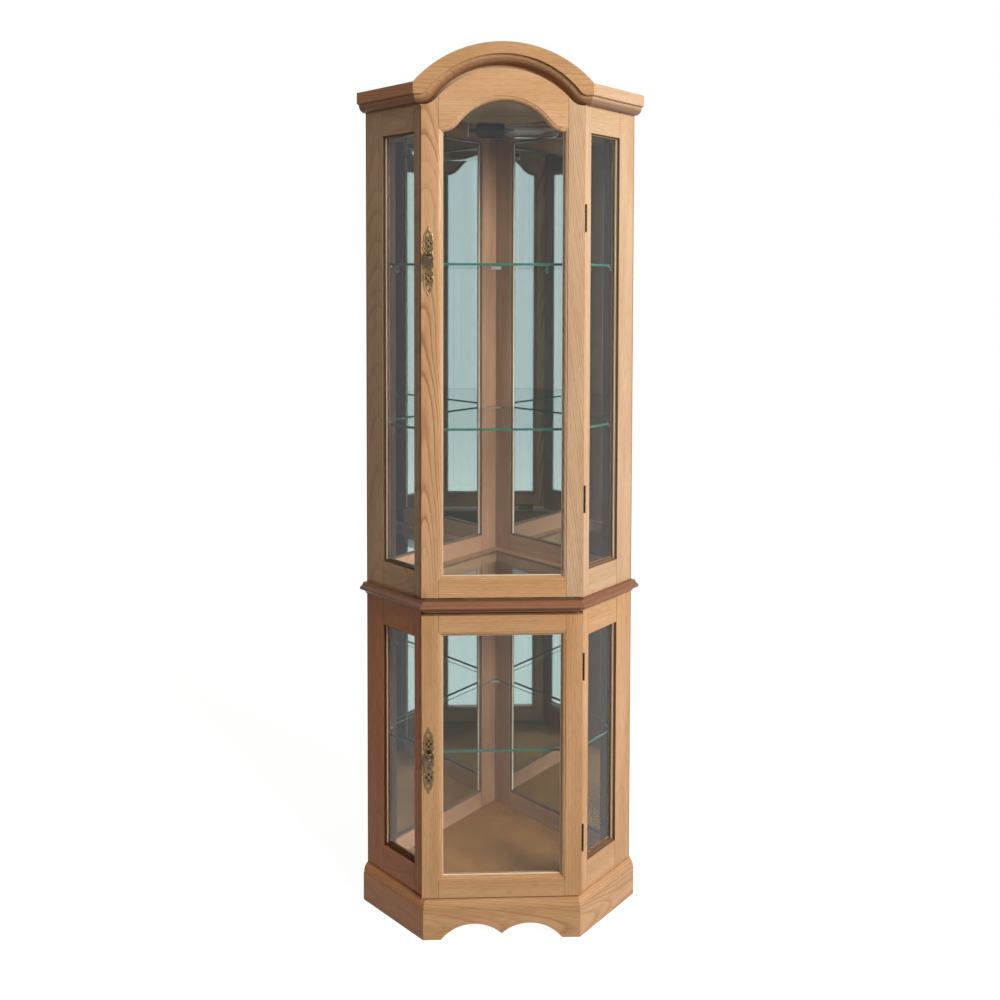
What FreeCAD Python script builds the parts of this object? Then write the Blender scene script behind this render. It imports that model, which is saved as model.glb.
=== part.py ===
import FreeCAD, Part
import math
import os
from collections import namedtuple

import Sketcher
from FreeCAD import Placement, Rotation, Vector

# Corner curio cabinet, in millimetres. Five sides in plan: a flat door, two glazed side frames at 45 degrees
# to it, and two back walls that meet at a right angle in the room's corner. Front is -Y, up is +Z, and the
# origin is on the floor under the middle of the bounding box.
#
# Plan lines. A side frame's outer face is the line x - y = side_line and a back wall is x + y = back_line,
# both measured from the doors' front face. The right half is built and the left half is its mirror image.

SIZES = {
    "plan": (
        ("carcass_width", 576),  # across the two rear corners of the side frames
        ("door_width", 330),
        ("door_proud", 10),  # doors' face in front of the corner edges
        ("door_thickness", 20),
        ("door_gap", 2.6),  # between a door's bevelled edge and the frame it closes against
        ("frame_thickness", 20),  # side frames
        ("back_frame_thickness", 18),
        ("back_panel_thickness", 3),
        ("board_thickness", 18),  # floor, top and header
        ("joint_gap", 0.1),  # hairline between glued members
        ("joint_groove", 0.9),  # eased end of a rail, which draws a line at each joint
        ("cut_margin", 10),  # how far a cutting outline runs past the wood
    ),
    "heights": (
        ("overall_height", 1829),
        ("lower_height", 677),  # floor to the deck's underside
        ("waist_height", 25),  # deck and waist moulding
        ("floor_top", 70),
        ("plinth_height", 79),
        ("plinth_face_height", 61),
        ("lower_door_foot_gap", 2),
        ("lower_door_head_gap", 7),
        ("upper_door_foot_gap", 5),
        ("upper_door_drop", 16),  # ends of the upper door's top below the top board
        ("upper_door_rise", 72.5),  # middle of the arched top above its ends
        ("door_arch_radius", 182),
        ("door_arch_flare", 30),
    ),
    "cornice": (
        ("cornice_drop", 13),  # cornice's lower edge below the top board
        ("mould_height", 16.5),
        ("fascia_height", 23.5),
        ("cornice_rise", 81),  # middle of the arch above the fascia's ends
        ("mould_arch_radius", 197),
        ("mould_arch_flare", 18),
        ("cornice_side_out", 24),
        ("cornice_front_out", 8),
        ("mould_out", 18.5),
        ("mould_foot", 6),
        ("mould_quirk", 2.5),
        ("mould_round", 15),
        ("header_overlap", 12),  # header behind the upper door's top edge
        ("header_gap", 1.5),
    ),
    "mouldings": (
        ("waist_side_out", 20),
        ("waist_front_out", 17),
        ("waist_ledge", 11),
        ("waist_foot", 4),
        ("waist_fillet", 1.5),
        ("waist_nose_bottom", 10),
        ("waist_nose_top", 18),
        ("waist_nose_depth", 3.6),
        ("waist_cove_round", 17),
        ("waist_ogee_round", 10),
        ("plinth_side_out", 12),
        ("plinth_front_out", 10),
        ("plinth_quirk", 1.5),
        ("plinth_ledge", 3),
        ("plinth_round", 16),
        ("plinth_round_start", 4.5),
        ("apron_arc_radius", 87),
        ("apron_arc_top", 32.5),
        ("apron_arc_spacing", 57),
    ),
    "frames": (
        ("moulded_edge", 9),  # rounded inner edge of the doors' members
        ("edge_quirk", 1),
        ("rebate_depth", 10.5),  # from a door's face to its glass
        ("panel_lip", 4),  # stepped inner edge of the side and back frames
        ("panel_step", 6),
        ("panel_rebate", 9.5),
        ("mirror_step", 3),
        ("mirror_depth", 7),
        ("glass_thickness", 4),
        ("mirror_thickness", 4),
        ("glass_clearance", 0.6),
        ("door_bead", 8),
        ("panel_bead", 3.8),
        ("door_stile_flat", 34),
        ("door_rail_flat", 34),
        ("door_edge_bevel", 10),
        ("opening_rise", 63.5),  # arched glass opening of the upper door
        ("opening_arch_radius", 120),
        ("opening_arch_flare", 40),
        ("opening_drop", 45.5),  # opening's shoulders below the door's top ends
        ("side_front_flat", 19),
        ("side_rear_flat", 50),
        ("lower_side_bottom_flat", 139),
        ("lower_side_top_flat", 57),
        ("upper_side_bottom_flat", 54),
        ("upper_side_top_flat", 85),
        ("back_inner_flat", 48),
        ("back_outer_flat", 45),
        ("back_rail_flat", 38),
    ),
    "inside": (
        ("deck_border", 32),  # wood left round the glass in the deck
        ("deck_front_border", 62),
        ("deck_glass_seat", 8),
        ("deck_glass_thickness", 5),
        ("shelf_thickness", 5),
        ("shelf_clearance", 3),
        ("shelf_front", 34),  # behind the doors' face
        ("lower_shelf_rise", 300),  # above the floor board
        ("middle_shelf_rise", 342),  # above the deck
        ("top_shelf_rise", 682),
        ("clip_width", 10),
        ("clip_leg", 10),
        ("clip_sheet", 2),
        ("corner_clip_reach", 12),
        ("corner_clip_height", 4),
        ("lamp_depth", 200),
        ("lamp_drop", 37),
        ("socket_left", 52),  # socket's left end from the middle
        ("socket_length", 62),
        ("socket_radius", 17),
        ("socket_shoulder", 4),
        ("socket_floor", 12),
        ("socket_end_radius", 12),
        ("nipple_length", 16),
        ("nipple_radius", 4),
        ("bulb_radius", 16),
        ("bulb_neck_radius", 12.5),
        ("bulb_neck_length", 1),
        ("bulb_shoulder", 8),
        ("bulb_length", 122),
        ("bulb_play", 0.3),
        ("bracket_sheet", 1.6),
        ("bracket_width", 22),
        ("bracket_length", 42),
    ),
    "hinges": (
        ("hinge_height", 56),
        ("hinge_leaf_width", 11),
        ("hinge_sheet", 1.2),
        ("knuckle_radius", 2.6),
        ("hinge_pin_radius", 1.2),
        ("hinge_bore_radius", 1.25),
        ("hinge_reach", 3.2),  # pin outside the corner edge
        ("knuckle_gap", 0.3),
        ("upper_hinge_foot", 171),  # lower hinge above a door's foot
        ("upper_hinge_head", 197),  # upper hinge below a door's head
        ("lower_hinge_foot", 89),
        ("lower_hinge_head", 84),
    ),
    "handles": (
        ("plate_height", 139),
        ("plate_thickness", 1.6),
        ("plate_edge", 15),  # plate's middle from the door's edge
        ("plate_tip", 12),
        ("plate_tip_half_width", 5.5),
        ("plate_spur", 11.2),
        ("plate_spur_height", 25.5),
        ("plate_neck", 6.3),
        ("plate_neck_height", 18),
        ("plate_middle", 9.2),
        ("plate_shoulder", 8),
        ("plate_shoulder_low", 30),
        ("plate_shoulder_high", 45),
        ("plate_ogee", 18),
        ("plate_bow", 18),
        ("plate_waist_bow", 20),
        ("lattice_height", 35),
        ("lattice_across", 4.6),
        ("lattice_up", 6.2),
        ("lattice_hole_across", 2.7),
        ("lattice_hole_up", 3.3),
        ("eyelet_height", 53),
        ("eyelet_reach", 5),
        ("eyelet_bow", 5.2),
        ("upper_plate_height", 685),  # above the door's foot
        ("lower_plate_height", 290),
        ("pull_pivot_height", 16),
        ("pull_radius", 8),
        ("pull_length", 31),
        ("pull_neck", 2.6),
        ("pull_neck_length", 5),
        ("pull_shoulder", 12),
        ("pull_belly_end", 24),
        ("pull_belly_end_radius", 5.5),
        ("pull_tip", 2),
        ("pull_clearance", 0.5),
        ("pull_pin_radius", 1.2),
        ("pull_bore_radius", 1.25),
        ("pull_eye_radius", 3.2),
        ("pull_eye_width", 5.6),
        ("ear_radius", 2.8),
        ("ear_thickness", 2),
        ("ear_gap", 0.3),
    ),
    "catches": (
        ("catch_width", 40),
        ("catch_height", 12),
        ("catch_depth", 14),
        ("catch_offset", 100),
        ("catch_gap", 0.4),
        ("strike_thickness", 1.2),
        ("strike_height", 8),
        ("strike_inset", 1),
    ),
}

WALL_ANGLE = 45  # of the side frames and back walls to the doors
MITRE = f"tan({WALL_ANGLE / 2})"  # half of the turn at each front corner
START, END = range(1, 3)  # the two ends of a sketch edge

doc = FreeCAD.newDocument("CurioCabinet")
sheet = doc.addObject("Spreadsheet::Sheet", "Sizes")
plan = doc.addObject("App::VarSet", "Plan")
nodes = []

# A flat frame of reference for a wall: x runs along it, y into its thickness, z up.
Wall = namedtuple("Wall", "x y angle")
Arch = namedtuple("Arch", "radius flare apex base centre reach turn_x turn_z")
# What a frame is made from: its inner edge has a lip in front of the glass, and a rebate behind the lip.
Stock = namedtuple("Stock", "thickness rebate lip edge")


# ---------------------------------------------------------------- sizes


def fill_sheet():
    """Writes every driving size to the sheet, with its alias."""
    row = 1
    for group, sizes in SIZES.items():
        sheet.set(f"A{row}", group)
        row += 1
        for alias, value in sizes:
            sheet.set(f"A{row}", alias)
            sheet.set(f"B{row}", str(value))
            sheet.setAlias(f"B{row}", alias)
            row += 1
    doc.recompute()


def derive(name, formula):
    """Adds a value worked out from the sheet, and returns the words that name it."""
    plan.addProperty("App::PropertyFloat", name, "Derived", "")
    plan.setExpression(name, formula)
    plan.recompute()
    return f"Plan.{name}"


def number(formula):
    """The number that an expression stands for now."""
    return float(plan.evalExpression(formula))


fill_sheet()

HALF_DOOR = derive("half_door", "Sizes.door_width / 2")
SIDE_LINE = derive("side_line", "half_door - Sizes.door_proud")
BACK_LINE = derive("back_line", "Sizes.carcass_width - side_line")
FRAME_BACK_LINE = derive("frame_back_line", "back_line - Sizes.back_panel_thickness * sqrt(2)")
INNER_SIDE_LINE = derive("inner_side_line", "side_line - Sizes.frame_thickness * sqrt(2)")
INNER_BACK_LINE = derive("inner_back_line", "frame_back_line - Sizes.back_frame_thickness * sqrt(2)")
derive(
    "handle_reach", "Sizes.plate_thickness + Sizes.pull_clearance + 2 * Sizes.pull_radius"
)
FACE_Y = derive("face_y", "(handle_reach - back_line) / 2")
# Front end of a side frame, along the side face, and the inside corner of that end.
SIDE_START = derive("side_start", "(half_door + Sizes.door_proud) / sqrt(2) + Sizes.door_gap")
SIDE_LENGTH = derive("side_length", "frame_back_line / sqrt(2) - side_start")
INNER_END_X = derive(
    "inner_end_x", "half_door + (Sizes.door_gap - Sizes.frame_thickness) / sqrt(2)"
)
INNER_END_Y = derive(
    "inner_end_y", "Sizes.door_proud + (Sizes.door_gap + Sizes.frame_thickness) / sqrt(2)"
)
BACK_LENGTH = derive("back_length", "(inner_back_line + inner_side_line) / sqrt(2)")
WAIST_TOP = derive("waist_top", "Sizes.lower_height + Sizes.waist_height")
FASCIA_TOP = derive("fascia_top", "Sizes.overall_height - Sizes.cornice_rise")
FASCIA_BOTTOM = derive("fascia_bottom", "fascia_top - Sizes.fascia_height")
CORNICE_BOTTOM = derive("cornice_bottom", "fascia_bottom - Sizes.mould_height")
CEILING = derive("ceiling", "cornice_bottom + Sizes.cornice_drop")
TOP_OF_TOP = derive("top_of_top", "ceiling + Sizes.board_thickness")
HEADER_FRONT = derive("header_front", "Sizes.door_thickness + Sizes.header_gap")
HEADER_BACK = derive("header_back", "header_front + Sizes.board_thickness")
UPPER_DOOR_BOTTOM = derive("upper_door_bottom", "waist_top + Sizes.upper_door_foot_gap")
DOOR_TOP = derive("door_top", "ceiling - Sizes.upper_door_drop")
LOWER_DOOR_BOTTOM = derive(
    "lower_door_bottom", "Sizes.plinth_height + Sizes.lower_door_foot_gap"
)
LOWER_DOOR_TOP = derive("lower_door_top", "Sizes.lower_height - Sizes.lower_door_head_gap")
CORNER_X = derive(
    "cornice_corner_x", "side_line + Sizes.cornice_side_out * sqrt(2) - Sizes.cornice_front_out"
)
CROWN_RADIUS = derive(
    "crown_radius", "(cornice_corner_x ^ 2 + Sizes.cornice_rise ^ 2) / (2 * Sizes.cornice_rise)"
)
PIN_LINE = derive("pin_line", "half_door + Sizes.door_proud + Sizes.door_gap / sqrt(2)")
PIN_SIDE = derive("pin_side", "side_line + Sizes.hinge_reach * sqrt(2)")
PULL_DEPTH = derive("pull_depth", "handle_reach - Sizes.pull_radius")
NOSE_ROUND = derive(
    "waist_nose_round",
    "(Sizes.waist_nose_depth ^ 2 + (Sizes.waist_nose_top - Sizes.waist_nose_bottom) ^ 2 / 4)"
    " / (2 * Sizes.waist_nose_depth)",
)


def define_arch(name, radius, flare, apex, base):
    """A round arch with reversed curves at its ends, tangent to the level line at its base."""
    centre = derive(f"{name}_centre", f"{apex} - ({radius})")
    rise = derive(f"{name}_flare_rise", f"{base} + ({flare}) - {centre}")
    reach = derive(f"{name}_reach", f"sqrt(({radius} + {flare}) ^ 2 - {rise} ^ 2)")
    share = f"({radius}) / ({radius} + {flare})"
    turn_x = derive(f"{name}_turn_x", f"{reach} * {share}")
    turn_z = derive(f"{name}_turn_z", f"{centre} + {rise} * {share}")
    return Arch(radius, flare, apex, base, centre, reach, turn_x, turn_z)


def inner_arch(name, arch, inset):
    """The arch that runs a fixed distance inside another one."""
    return define_arch(
        name,
        f"({arch.radius} - ({inset}))",
        f"({arch.flare} + ({inset}))",
        f"({arch.apex} - ({inset}))",
        f"({arch.base} - ({inset}))",
    )


MOULD_TOP = define_arch(
    "mould_top",
    "Sizes.mould_arch_radius",
    "Sizes.mould_arch_flare",
    "(Plan.fascia_bottom + Sizes.cornice_rise)",
    "Plan.fascia_bottom",
)
DOOR_ARCH = define_arch(
    "door_arch",
    "Sizes.door_arch_radius",
    "Sizes.door_arch_flare",
    "(Plan.door_top + Sizes.upper_door_rise)",
    "Plan.door_top",
)
HEADER_ARCH = inner_arch("header_arch", DOOR_ARCH, "Sizes.header_overlap")
OPENING_ARCH = define_arch(
    "opening_arch",
    "Sizes.opening_arch_radius",
    "Sizes.opening_arch_flare",
    "(Plan.door_top - Sizes.opening_drop + Sizes.opening_rise)",
    "(Plan.door_top - Sizes.opening_drop)",
)
GLASS_ARCH = inner_arch("glass_arch", OPENING_ARCH, "Sizes.glass_clearance")
BEAD_ARCH = inner_arch("bead_arch", OPENING_ARCH, "Sizes.door_bead")
doc.recompute()

FRONT = Wall("0", FACE_Y, 0)
DOOR = Wall(f"-{HALF_DOOR}", FACE_Y, 0)
SIDE = Wall(f"{SIDE_LINE} / 2", f"{FACE_Y} - {SIDE_LINE} / 2", WALL_ANGLE)
BACK = Wall("0", f"{FACE_Y} + {INNER_BACK_LINE}", -WALL_ANGLE)

GAP = "Sizes.joint_gap"
MARGIN = "Sizes.cut_margin"
STEPPED_LIP = "Sizes.panel_lip"
DOOR_STOCK = Stock(
    "Sizes.door_thickness",
    "Sizes.rebate_depth",
    "Sizes.moulded_edge",
    [
        ("0", "Sizes.edge_quirk"),
        ("Sizes.moulded_edge", "Sizes.edge_quirk + Sizes.moulded_edge", "Sizes.moulded_edge", 1),
    ],
)
SIDE_STOCK = Stock(
    "Sizes.frame_thickness",
    "Sizes.panel_rebate",
    STEPPED_LIP,
    [("0", "Sizes.panel_step"), (STEPPED_LIP, "Sizes.panel_step")],
)
BACK_STOCK = Stock(
    "Sizes.back_frame_thickness",
    "Sizes.mirror_depth",
    STEPPED_LIP,
    [("0", "Sizes.mirror_step"), (STEPPED_LIP, "Sizes.mirror_step")],
)


# ---------------------------------------------------------------- drawing and features


def arc_centre(start, end, radius, turn):
    """Centre of the smaller arc from start to end; turn is 1 for counter-clockwise and -1 for clockwise."""
    middle = (start + end) / 2
    chord = end - start
    height = math.sqrt(radius * radius - chord.Length**2 / 4)
    left = Vector(-chord.y, chord.x, 0).normalize()
    return middle + left * height * turn


def draw(sketch, path, closed=True):
    """Draws an outline. A point is (x, y) as expressions, or (x, y, radius, turn) to reach it by an arc."""
    points = [Vector(number(p[0]), number(p[1]), 0) for p in path]
    targets = [(i + 1) % len(path) for i in range(len(path) if closed else len(path) - 1)]
    first = sketch.GeometryCount
    starts = []  # which end of each edge comes first along the outline
    for i, target in enumerate(targets):
        bend = path[target][2:]
        starts.append(add_edge(sketch, points[i], points[target], *bend))
    for i, target in enumerate(targets):
        start = starts[i]
        end = END if start == START else START
        pin_point(sketch, first + i, start, path[i], points[i])
        if target < len(targets):
            meeting = ("Coincident", first + i, end, first + target, starts[target])
            sketch.addConstraint(Sketcher.Constraint(*meeting))
        else:
            pin_point(sketch, first + i, end, path[target], points[target])


def add_edge(sketch, start, end, radius=None, turn=1):
    """Adds a line, or an arc with its radius bound to an expression, and says which end is the start."""
    if radius is None:
        sketch.addGeometry(Part.LineSegment(start, end))
        return START
    size = number(radius)
    centre = arc_centre(start, end, size, turn)
    ends = (start, end) if turn > 0 else (end, start)
    angles = [math.atan2(p.y - centre.y, p.x - centre.x) for p in ends]
    circle = Part.Circle(centre, Vector(0, 0, 1), size)
    edge = sketch.addGeometry(Part.ArcOfCircle(circle, *angles))
    k = sketch.addConstraint(Sketcher.Constraint("Radius", edge, size))
    sketch.setExpression(f"Constraints[{k}]", radius)
    return START if turn > 0 else END


def pin_point(sketch, edge, position, formulas, point):
    """Holds one point of the sketch at its x and y expressions."""
    for kind, formula, value in (
        ("DistanceX", formulas[0], point.x),
        ("DistanceY", formulas[1], point.y),
    ):
        k = sketch.addConstraint(Sketcher.Constraint(kind, -1, 1, edge, position, value))
        sketch.setExpression(f"Constraints[{k}]", formula)


def new_body(label):
    """An empty PartDesign body."""
    body = doc.addObject("PartDesign::Body", "Body")
    body.Label = label
    return body


def add_sketch(body, plane, paths, offset=None, closed=True):
    """A sketch on one of the body's own planes, with one or more outlines."""
    sketch = body.newObject("Sketcher::SketchObject", "Sketch")
    role = {"XY": "XY_Plane", "XZ": "XZ_Plane", "YZ": "YZ_Plane"}[plane]
    support = next(o for o in body.Origin.OriginFeatures if o.Role == role)
    sketch.AttachmentSupport = (support, [""])
    sketch.MapMode = "FlatFace"
    if offset:
        sketch.setExpression("AttachmentOffset.Base.z", offset)
    for path in paths:
        draw(sketch, path, closed)
    return sketch


def pad(body, plane, path, length, offset=None):
    """Extrudes an outline along +Z, +Y or +X, according to its plane."""
    feature_sketch = add_sketch(body, plane, [path], offset)
    feature = body.newObject("PartDesign::Pad", "Pad")
    feature.Profile = feature_sketch
    feature.Reversed = plane == "XZ"
    feature.setExpression("Length", length)
    doc.recompute()
    return feature


def pocket(body, plane, paths, length=None, offset=None):
    """Cuts outlines away, through everything along the plane's axis or to a length from the plane."""
    before = body.Shape.Volume
    feature_sketch = add_sketch(body, plane, paths, offset)
    feature = body.newObject("PartDesign::Pocket", "Pocket")
    feature.Profile = feature_sketch
    feature.Reversed = plane != "XZ"
    if length is None:
        feature.Midplane = True
        feature.Type = "ThroughAll"
    else:
        feature.setExpression("Length", length)
    doc.recompute()
    if not body.Shape.Volume < before - 1e-6:
        raise RuntimeError(f"{body.Label}: a pocket removed nothing")
    return feature


def sweep(body, sections, path, start):
    """Adds a section, drawn in depth and height at x = start, swept along an open path in elevation."""
    spine = add_sketch(body, "XZ", [path], closed=False)
    section = add_sketch(body, "YZ", sections, offset=start)
    feature = body.newObject("PartDesign::AdditivePipe", "Sweep")
    feature.Profile = section
    feature.Spine = spine
    doc.recompute()
    return feature


def place(thing, wall, along="0", depth="0", height="0", turn=None):
    """Puts an object on a wall: along it, into its depth and up from the floor."""
    rotation = Rotation(Vector(0, 0, 1), wall.angle)
    thing.Placement = Placement(Vector(), rotation * turn if turn else rotation)
    cos, sin = f"cos({wall.angle})", f"sin({wall.angle})"
    thing.setExpression("Placement.Base.x", f"{wall.x} + ({along}) * {cos} - ({depth}) * {sin}")
    thing.setExpression("Placement.Base.y", f"{wall.y} + ({along}) * {sin} + ({depth}) * {cos}")
    thing.setExpression("Placement.Base.z", height)
    return thing


def box(label, wall, along, depth, height):
    """A plain board, pane or block. Each argument is (start, size) in the wall's frame."""
    block = doc.addObject("Part::Box", "Box")
    block.Label = label
    block.setExpression("Length", along[1])
    block.setExpression("Width", depth[1])
    block.setExpression("Height", height[1])
    return place(block, wall, along[0], depth[0], height[0])


def cylinder(label, wall, radius, length, along, depth, height, turn=None):
    """A round rod or bore, upright unless turned."""
    rod = doc.addObject("Part::Cylinder", "Cylinder")
    rod.Label = label
    rod.setExpression("Radius", radius)
    rod.setExpression("Height", length)
    return place(rod, wall, along, depth, height, turn)


def fused(label, pieces):
    """Several pieces joined to one solid."""
    union = doc.addObject("Part::MultiFuse", "Fuse")
    union.Label = label
    union.Shapes = pieces
    return union


def bored(label, base, tool):
    """A piece with another one's space cut out of it."""
    cut = doc.addObject("Part::Cut", "Cut")
    cut.Label = label
    cut.Base = base
    cut.Tool = tool
    return cut


def grouped(label, pieces):
    """Several separate solids that make one sub-part."""
    group = doc.addObject("Part::Compound", "Compound")
    group.Label = label
    group.Links = pieces
    return group


def mirrored(label, source):
    """The same piece on the other side of the cabinet."""
    copy = doc.addObject("Part::Mirroring", "Mirror")
    copy.Label = label
    copy.Source = source
    copy.Normal = Vector(1, 0, 0)
    return copy


def node(piece, label=None):
    """Marks an object as a sub-part: its label names its file."""
    if label:
        piece.Label = label
    nodes.append(piece)
    return piece


def node_pair(piece, name):
    """Marks a right-hand sub-part and adds its left-hand twin."""
    node(piece, name.format("right"))
    node(mirrored(name.format("left"), piece))


# ---------------------------------------------------------------- outlines


def board_outline(side_line, front, back_line):
    """Five-sided outline of a board between the side lines, the back lines and a front edge."""
    front_x = f"{side_line} + {front}"
    rear_x = f"({back_line} + {side_line}) / 2"
    rear_y = f"({back_line} - ({side_line})) / 2"
    return [
        (f"-({front_x})", front),
        (front_x, front),
        (rear_x, rear_y),
        ("0", back_line),
        (f"-{rear_x}", rear_y),
    ]


def arch_points(arch, half, leftward=True):
    """Points of an arch from x = half to x = -half, or the other way."""
    first, last = ("", "-") if leftward else ("-", "")
    turn = 1 if leftward else -1
    return [
        (f"{first}({half})", arch.base),
        (f"{first}{arch.reach}", arch.base),
        (f"{first}{arch.turn_x}", arch.turn_z, arch.flare, -turn),
        (f"{last}{arch.turn_x}", arch.turn_z, arch.radius, turn),
        (f"{last}{arch.reach}", arch.base, arch.flare, -turn),
        (f"{last}({half})", arch.base),
    ]


def corner_waste(corner_x, front, depth, end_points=()):
    """What a mitre cuts off the right end of a front moulding, seen from above."""
    far = f"{corner_x} + 2 * {depth} + 2 * {MARGIN}"
    return [
        (f"{corner_x} + {MARGIN} * {MITRE}", f"{front} - {MARGIN}"),
        (far, f"{front} - {MARGIN}"),
        (far, f"{front} + 2 * {depth} + {MARGIN}"),
        *reversed(end_points),
        (f"{corner_x} - ({depth}) * {MITRE}", f"{front} + {depth}"),
    ]


def flipped(path):
    """The mirror image of an outline, drawn in the opposite order."""
    return [(f"-({x})", y) for x, y in reversed(path)]


# ---------------------------------------------------------------- frame members


def member_section(flat, stock, outer_edge=()):
    """Section of a stile or rail: flat face, inner edge with its lip, and a rebate for the glass behind."""
    return [
        (flat, "0"),
        *[(f"{flat} + {point[0]}", *point[1:]) for point in stock.edge],
        (f"{flat} + {stock.lip}", stock.rebate),
        (flat, stock.rebate),
        (flat, stock.thickness),
        *(outer_edge or [("0", stock.thickness), ("0", "0")]),
    ]


def mitre_waste(flat, lip, opening, length):
    """What is cut from a member's lip: all of it past the opening's corners, mitred at each corner."""
    start, end = opening
    edge = f"({lip} + {MARGIN})"
    out = f"{flat} + {edge}"
    before, past = f"-{MARGIN}", f"{length} + {MARGIN}"
    return [
        [(flat, before), (out, before), (out, f"{start} + {edge}"), (flat, start)],
        [(flat, end), (out, f"{end} - {edge}"), (out, past), (flat, past)],
    ]


def eased_end(end, inward):
    """What is planed off the face at one end of a rail: points along it and in depth."""
    outward = "-" if inward == "+" else "+"
    reach = f"(Sizes.joint_groove + {MARGIN})"
    return [
        (f"{end} {inward} {reach}", f"-{MARGIN}"),
        (f"{end} {outward} {MARGIN}", reach),
        (f"{end} {outward} {MARGIN}", f"-{MARGIN}"),
    ]


def stile(label, flat, length, opening, stock, outer_edge=()):
    """A member along +Z: x is from its outer edge to the glass and y is its depth.

    opening is where the glass opening's corners lie along it, as (start, end)."""
    body = new_body(label)
    pad(body, "XY", member_section(flat, stock, outer_edge), length)
    pocket(body, "XZ", mitre_waste(flat, stock.lip, opening, length))
    return body


def rail(label, flat, length, stock):
    """A member that ends against two stiles, with its face eased there."""
    body = stile(label, flat, length, ("0", length), stock)
    ends = (eased_end("0", "+"), eased_end(length, "-"))
    pocket(body, "YZ", [[(depth, along) for along, depth in end] for end in ends])
    return body


# A rail's x points up, or down, and its length runs along the wall.
RAIL_UP = Rotation(Vector(0, 1, 0), -90)
RAIL_DOWN = Rotation(Vector(0, 1, 0), 90)
END_STILE = Rotation(Vector(0, 1, 0), 180)


def rectangular_frame(name, wall, start, length, bottom, height, flats, stock, edge=()):
    """Four members round an opening: flats are those of the first and last stile, bottom and top rail."""
    first, last, low, high = flats
    rail_length = f"({length} - ({first}) - ({last}) - 2 * {GAP})"
    opening = (f"{low} + {GAP}", f"{height} - ({high}) - {GAP}")
    turned_opening = (f"{high} + {GAP}", f"{height} - ({low}) - {GAP}")
    first_stile = stile(f"{name} first stile", first, height, opening, stock, edge)
    last_stile = stile(f"{name} last stile", last, height, turned_opening, stock)
    low_rail = rail(f"{name} bottom rail", low, rail_length, stock)
    high_rail = rail(f"{name} top rail", high, rail_length, stock)
    top = f"{bottom} + {height}"
    place(first_stile, wall, start, "0", bottom)
    place(last_stile, wall, f"{start} + {length}", "0", top, END_STILE)
    place(low_rail, wall, f"{start} + {length} - ({last}) - {GAP}", "0", bottom, RAIL_UP)
    place(high_rail, wall, f"{start} + {first} + {GAP}", "0", top, RAIL_DOWN)
    return [first_stile, last_stile, low_rail, high_rail]


def bead_depth(stock):
    """Where the beads lie behind a pane, as (start, size)."""
    back = f"({stock.rebate} + Sizes.glass_thickness)"
    return back, f"{stock.thickness} - {back}"


def beads(name, wall, along, up, stock, wide):
    """Four straight strips that hold a pane from behind. along and up are the opening's (start, end)."""
    depth = bead_depth(stock)
    label = f"{name} bead"
    left, right = f"({along[0]} + {GAP})", f"({along[1]} - {GAP})"
    low, high = f"({up[0]} + {GAP})", f"({up[1]} - {GAP})"
    upright = (low, f"{high} - {low}")
    inside = (f"{left} + {wide} + {GAP}", f"{right} - {left} - 2 * ({wide} + {GAP})")
    return [
        box(label, wall, (left, wide), depth, upright),
        box(label, wall, (f"{right} - {wide}", wide), depth, upright),
        box(label, wall, inside, depth, (low, wide)),
        box(label, wall, inside, depth, (f"{high} - {wide}", wide)),
    ]


def pane(label, wall, along, up, depth):
    """A rectangular pane that fills an opening, less its clearance."""
    play = "Sizes.glass_clearance"
    return box(
        label,
        wall,
        (f"{along[0]} + {play}", f"{along[1]} - ({along[0]}) - 2 * {play}"),
        depth,
        (f"{up[0]} + {play}", f"{up[1]} - ({up[0]}) - 2 * {play}"),
    )


# ---------------------------------------------------------------- mouldings


def plinth_profile():
    """Plinth board with its moulded top, from the back at y = 0 outwards to negative y."""
    out = "-Sizes.plinth_side_out"
    inset = f"{out} + Sizes.plinth_quirk"
    face = "Sizes.plinth_face_height"
    top = "Sizes.plinth_height"
    ledge = "-Sizes.plinth_ledge"
    return [
        ("0", "0"),
        ("0", top),
        (ledge, top),
        (ledge, f"{top} - Sizes.plinth_quirk"),
        (inset, f"{face} + Sizes.plinth_round_start", "Sizes.plinth_round", 1),
        (inset, face),
        (out, face),
        (out, "0"),
    ]


def waist_profile():
    """Waist moulding: a cove below, a bold round nose, and a hollow up to the ledge."""
    nose = "-(Sizes.waist_side_out - Sizes.waist_nose_depth)"
    foot = "-Sizes.waist_foot"
    ledge = "-Sizes.waist_ledge"
    top = "Sizes.waist_height"
    fillet = "Sizes.waist_fillet"
    return [
        ("0", "0"),
        ("0", top),
        (ledge, top),
        (ledge, f"{top} - {fillet}"),
        (nose, "Sizes.waist_nose_top", "Sizes.waist_ogee_round", -1),
        (nose, "Sizes.waist_nose_bottom", NOSE_ROUND, 1),
        (foot, fillet, "Sizes.waist_cove_round", -1),
        (foot, "0"),
    ]


def mould_outline(back):
    """Rounded moulding under the fascia, between the cornice's bottom and the fascia, back to y = back."""
    out, quirk = "-Sizes.mould_out", "Sizes.mould_quirk"
    fillet = f"{out} - {quirk}"
    fillet_bottom = f"{FASCIA_BOTTOM} - {quirk} / 2"
    return [
        (back, CORNICE_BOTTOM),
        (back, FASCIA_BOTTOM),
        (fillet, FASCIA_BOTTOM),
        (fillet, fillet_bottom),
        (out, fillet_bottom),
        (out, f"{FASCIA_BOTTOM} - {quirk}"),
        ("-Sizes.mould_foot", CORNICE_BOTTOM, "Sizes.mould_round", 1),
    ]


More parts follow.
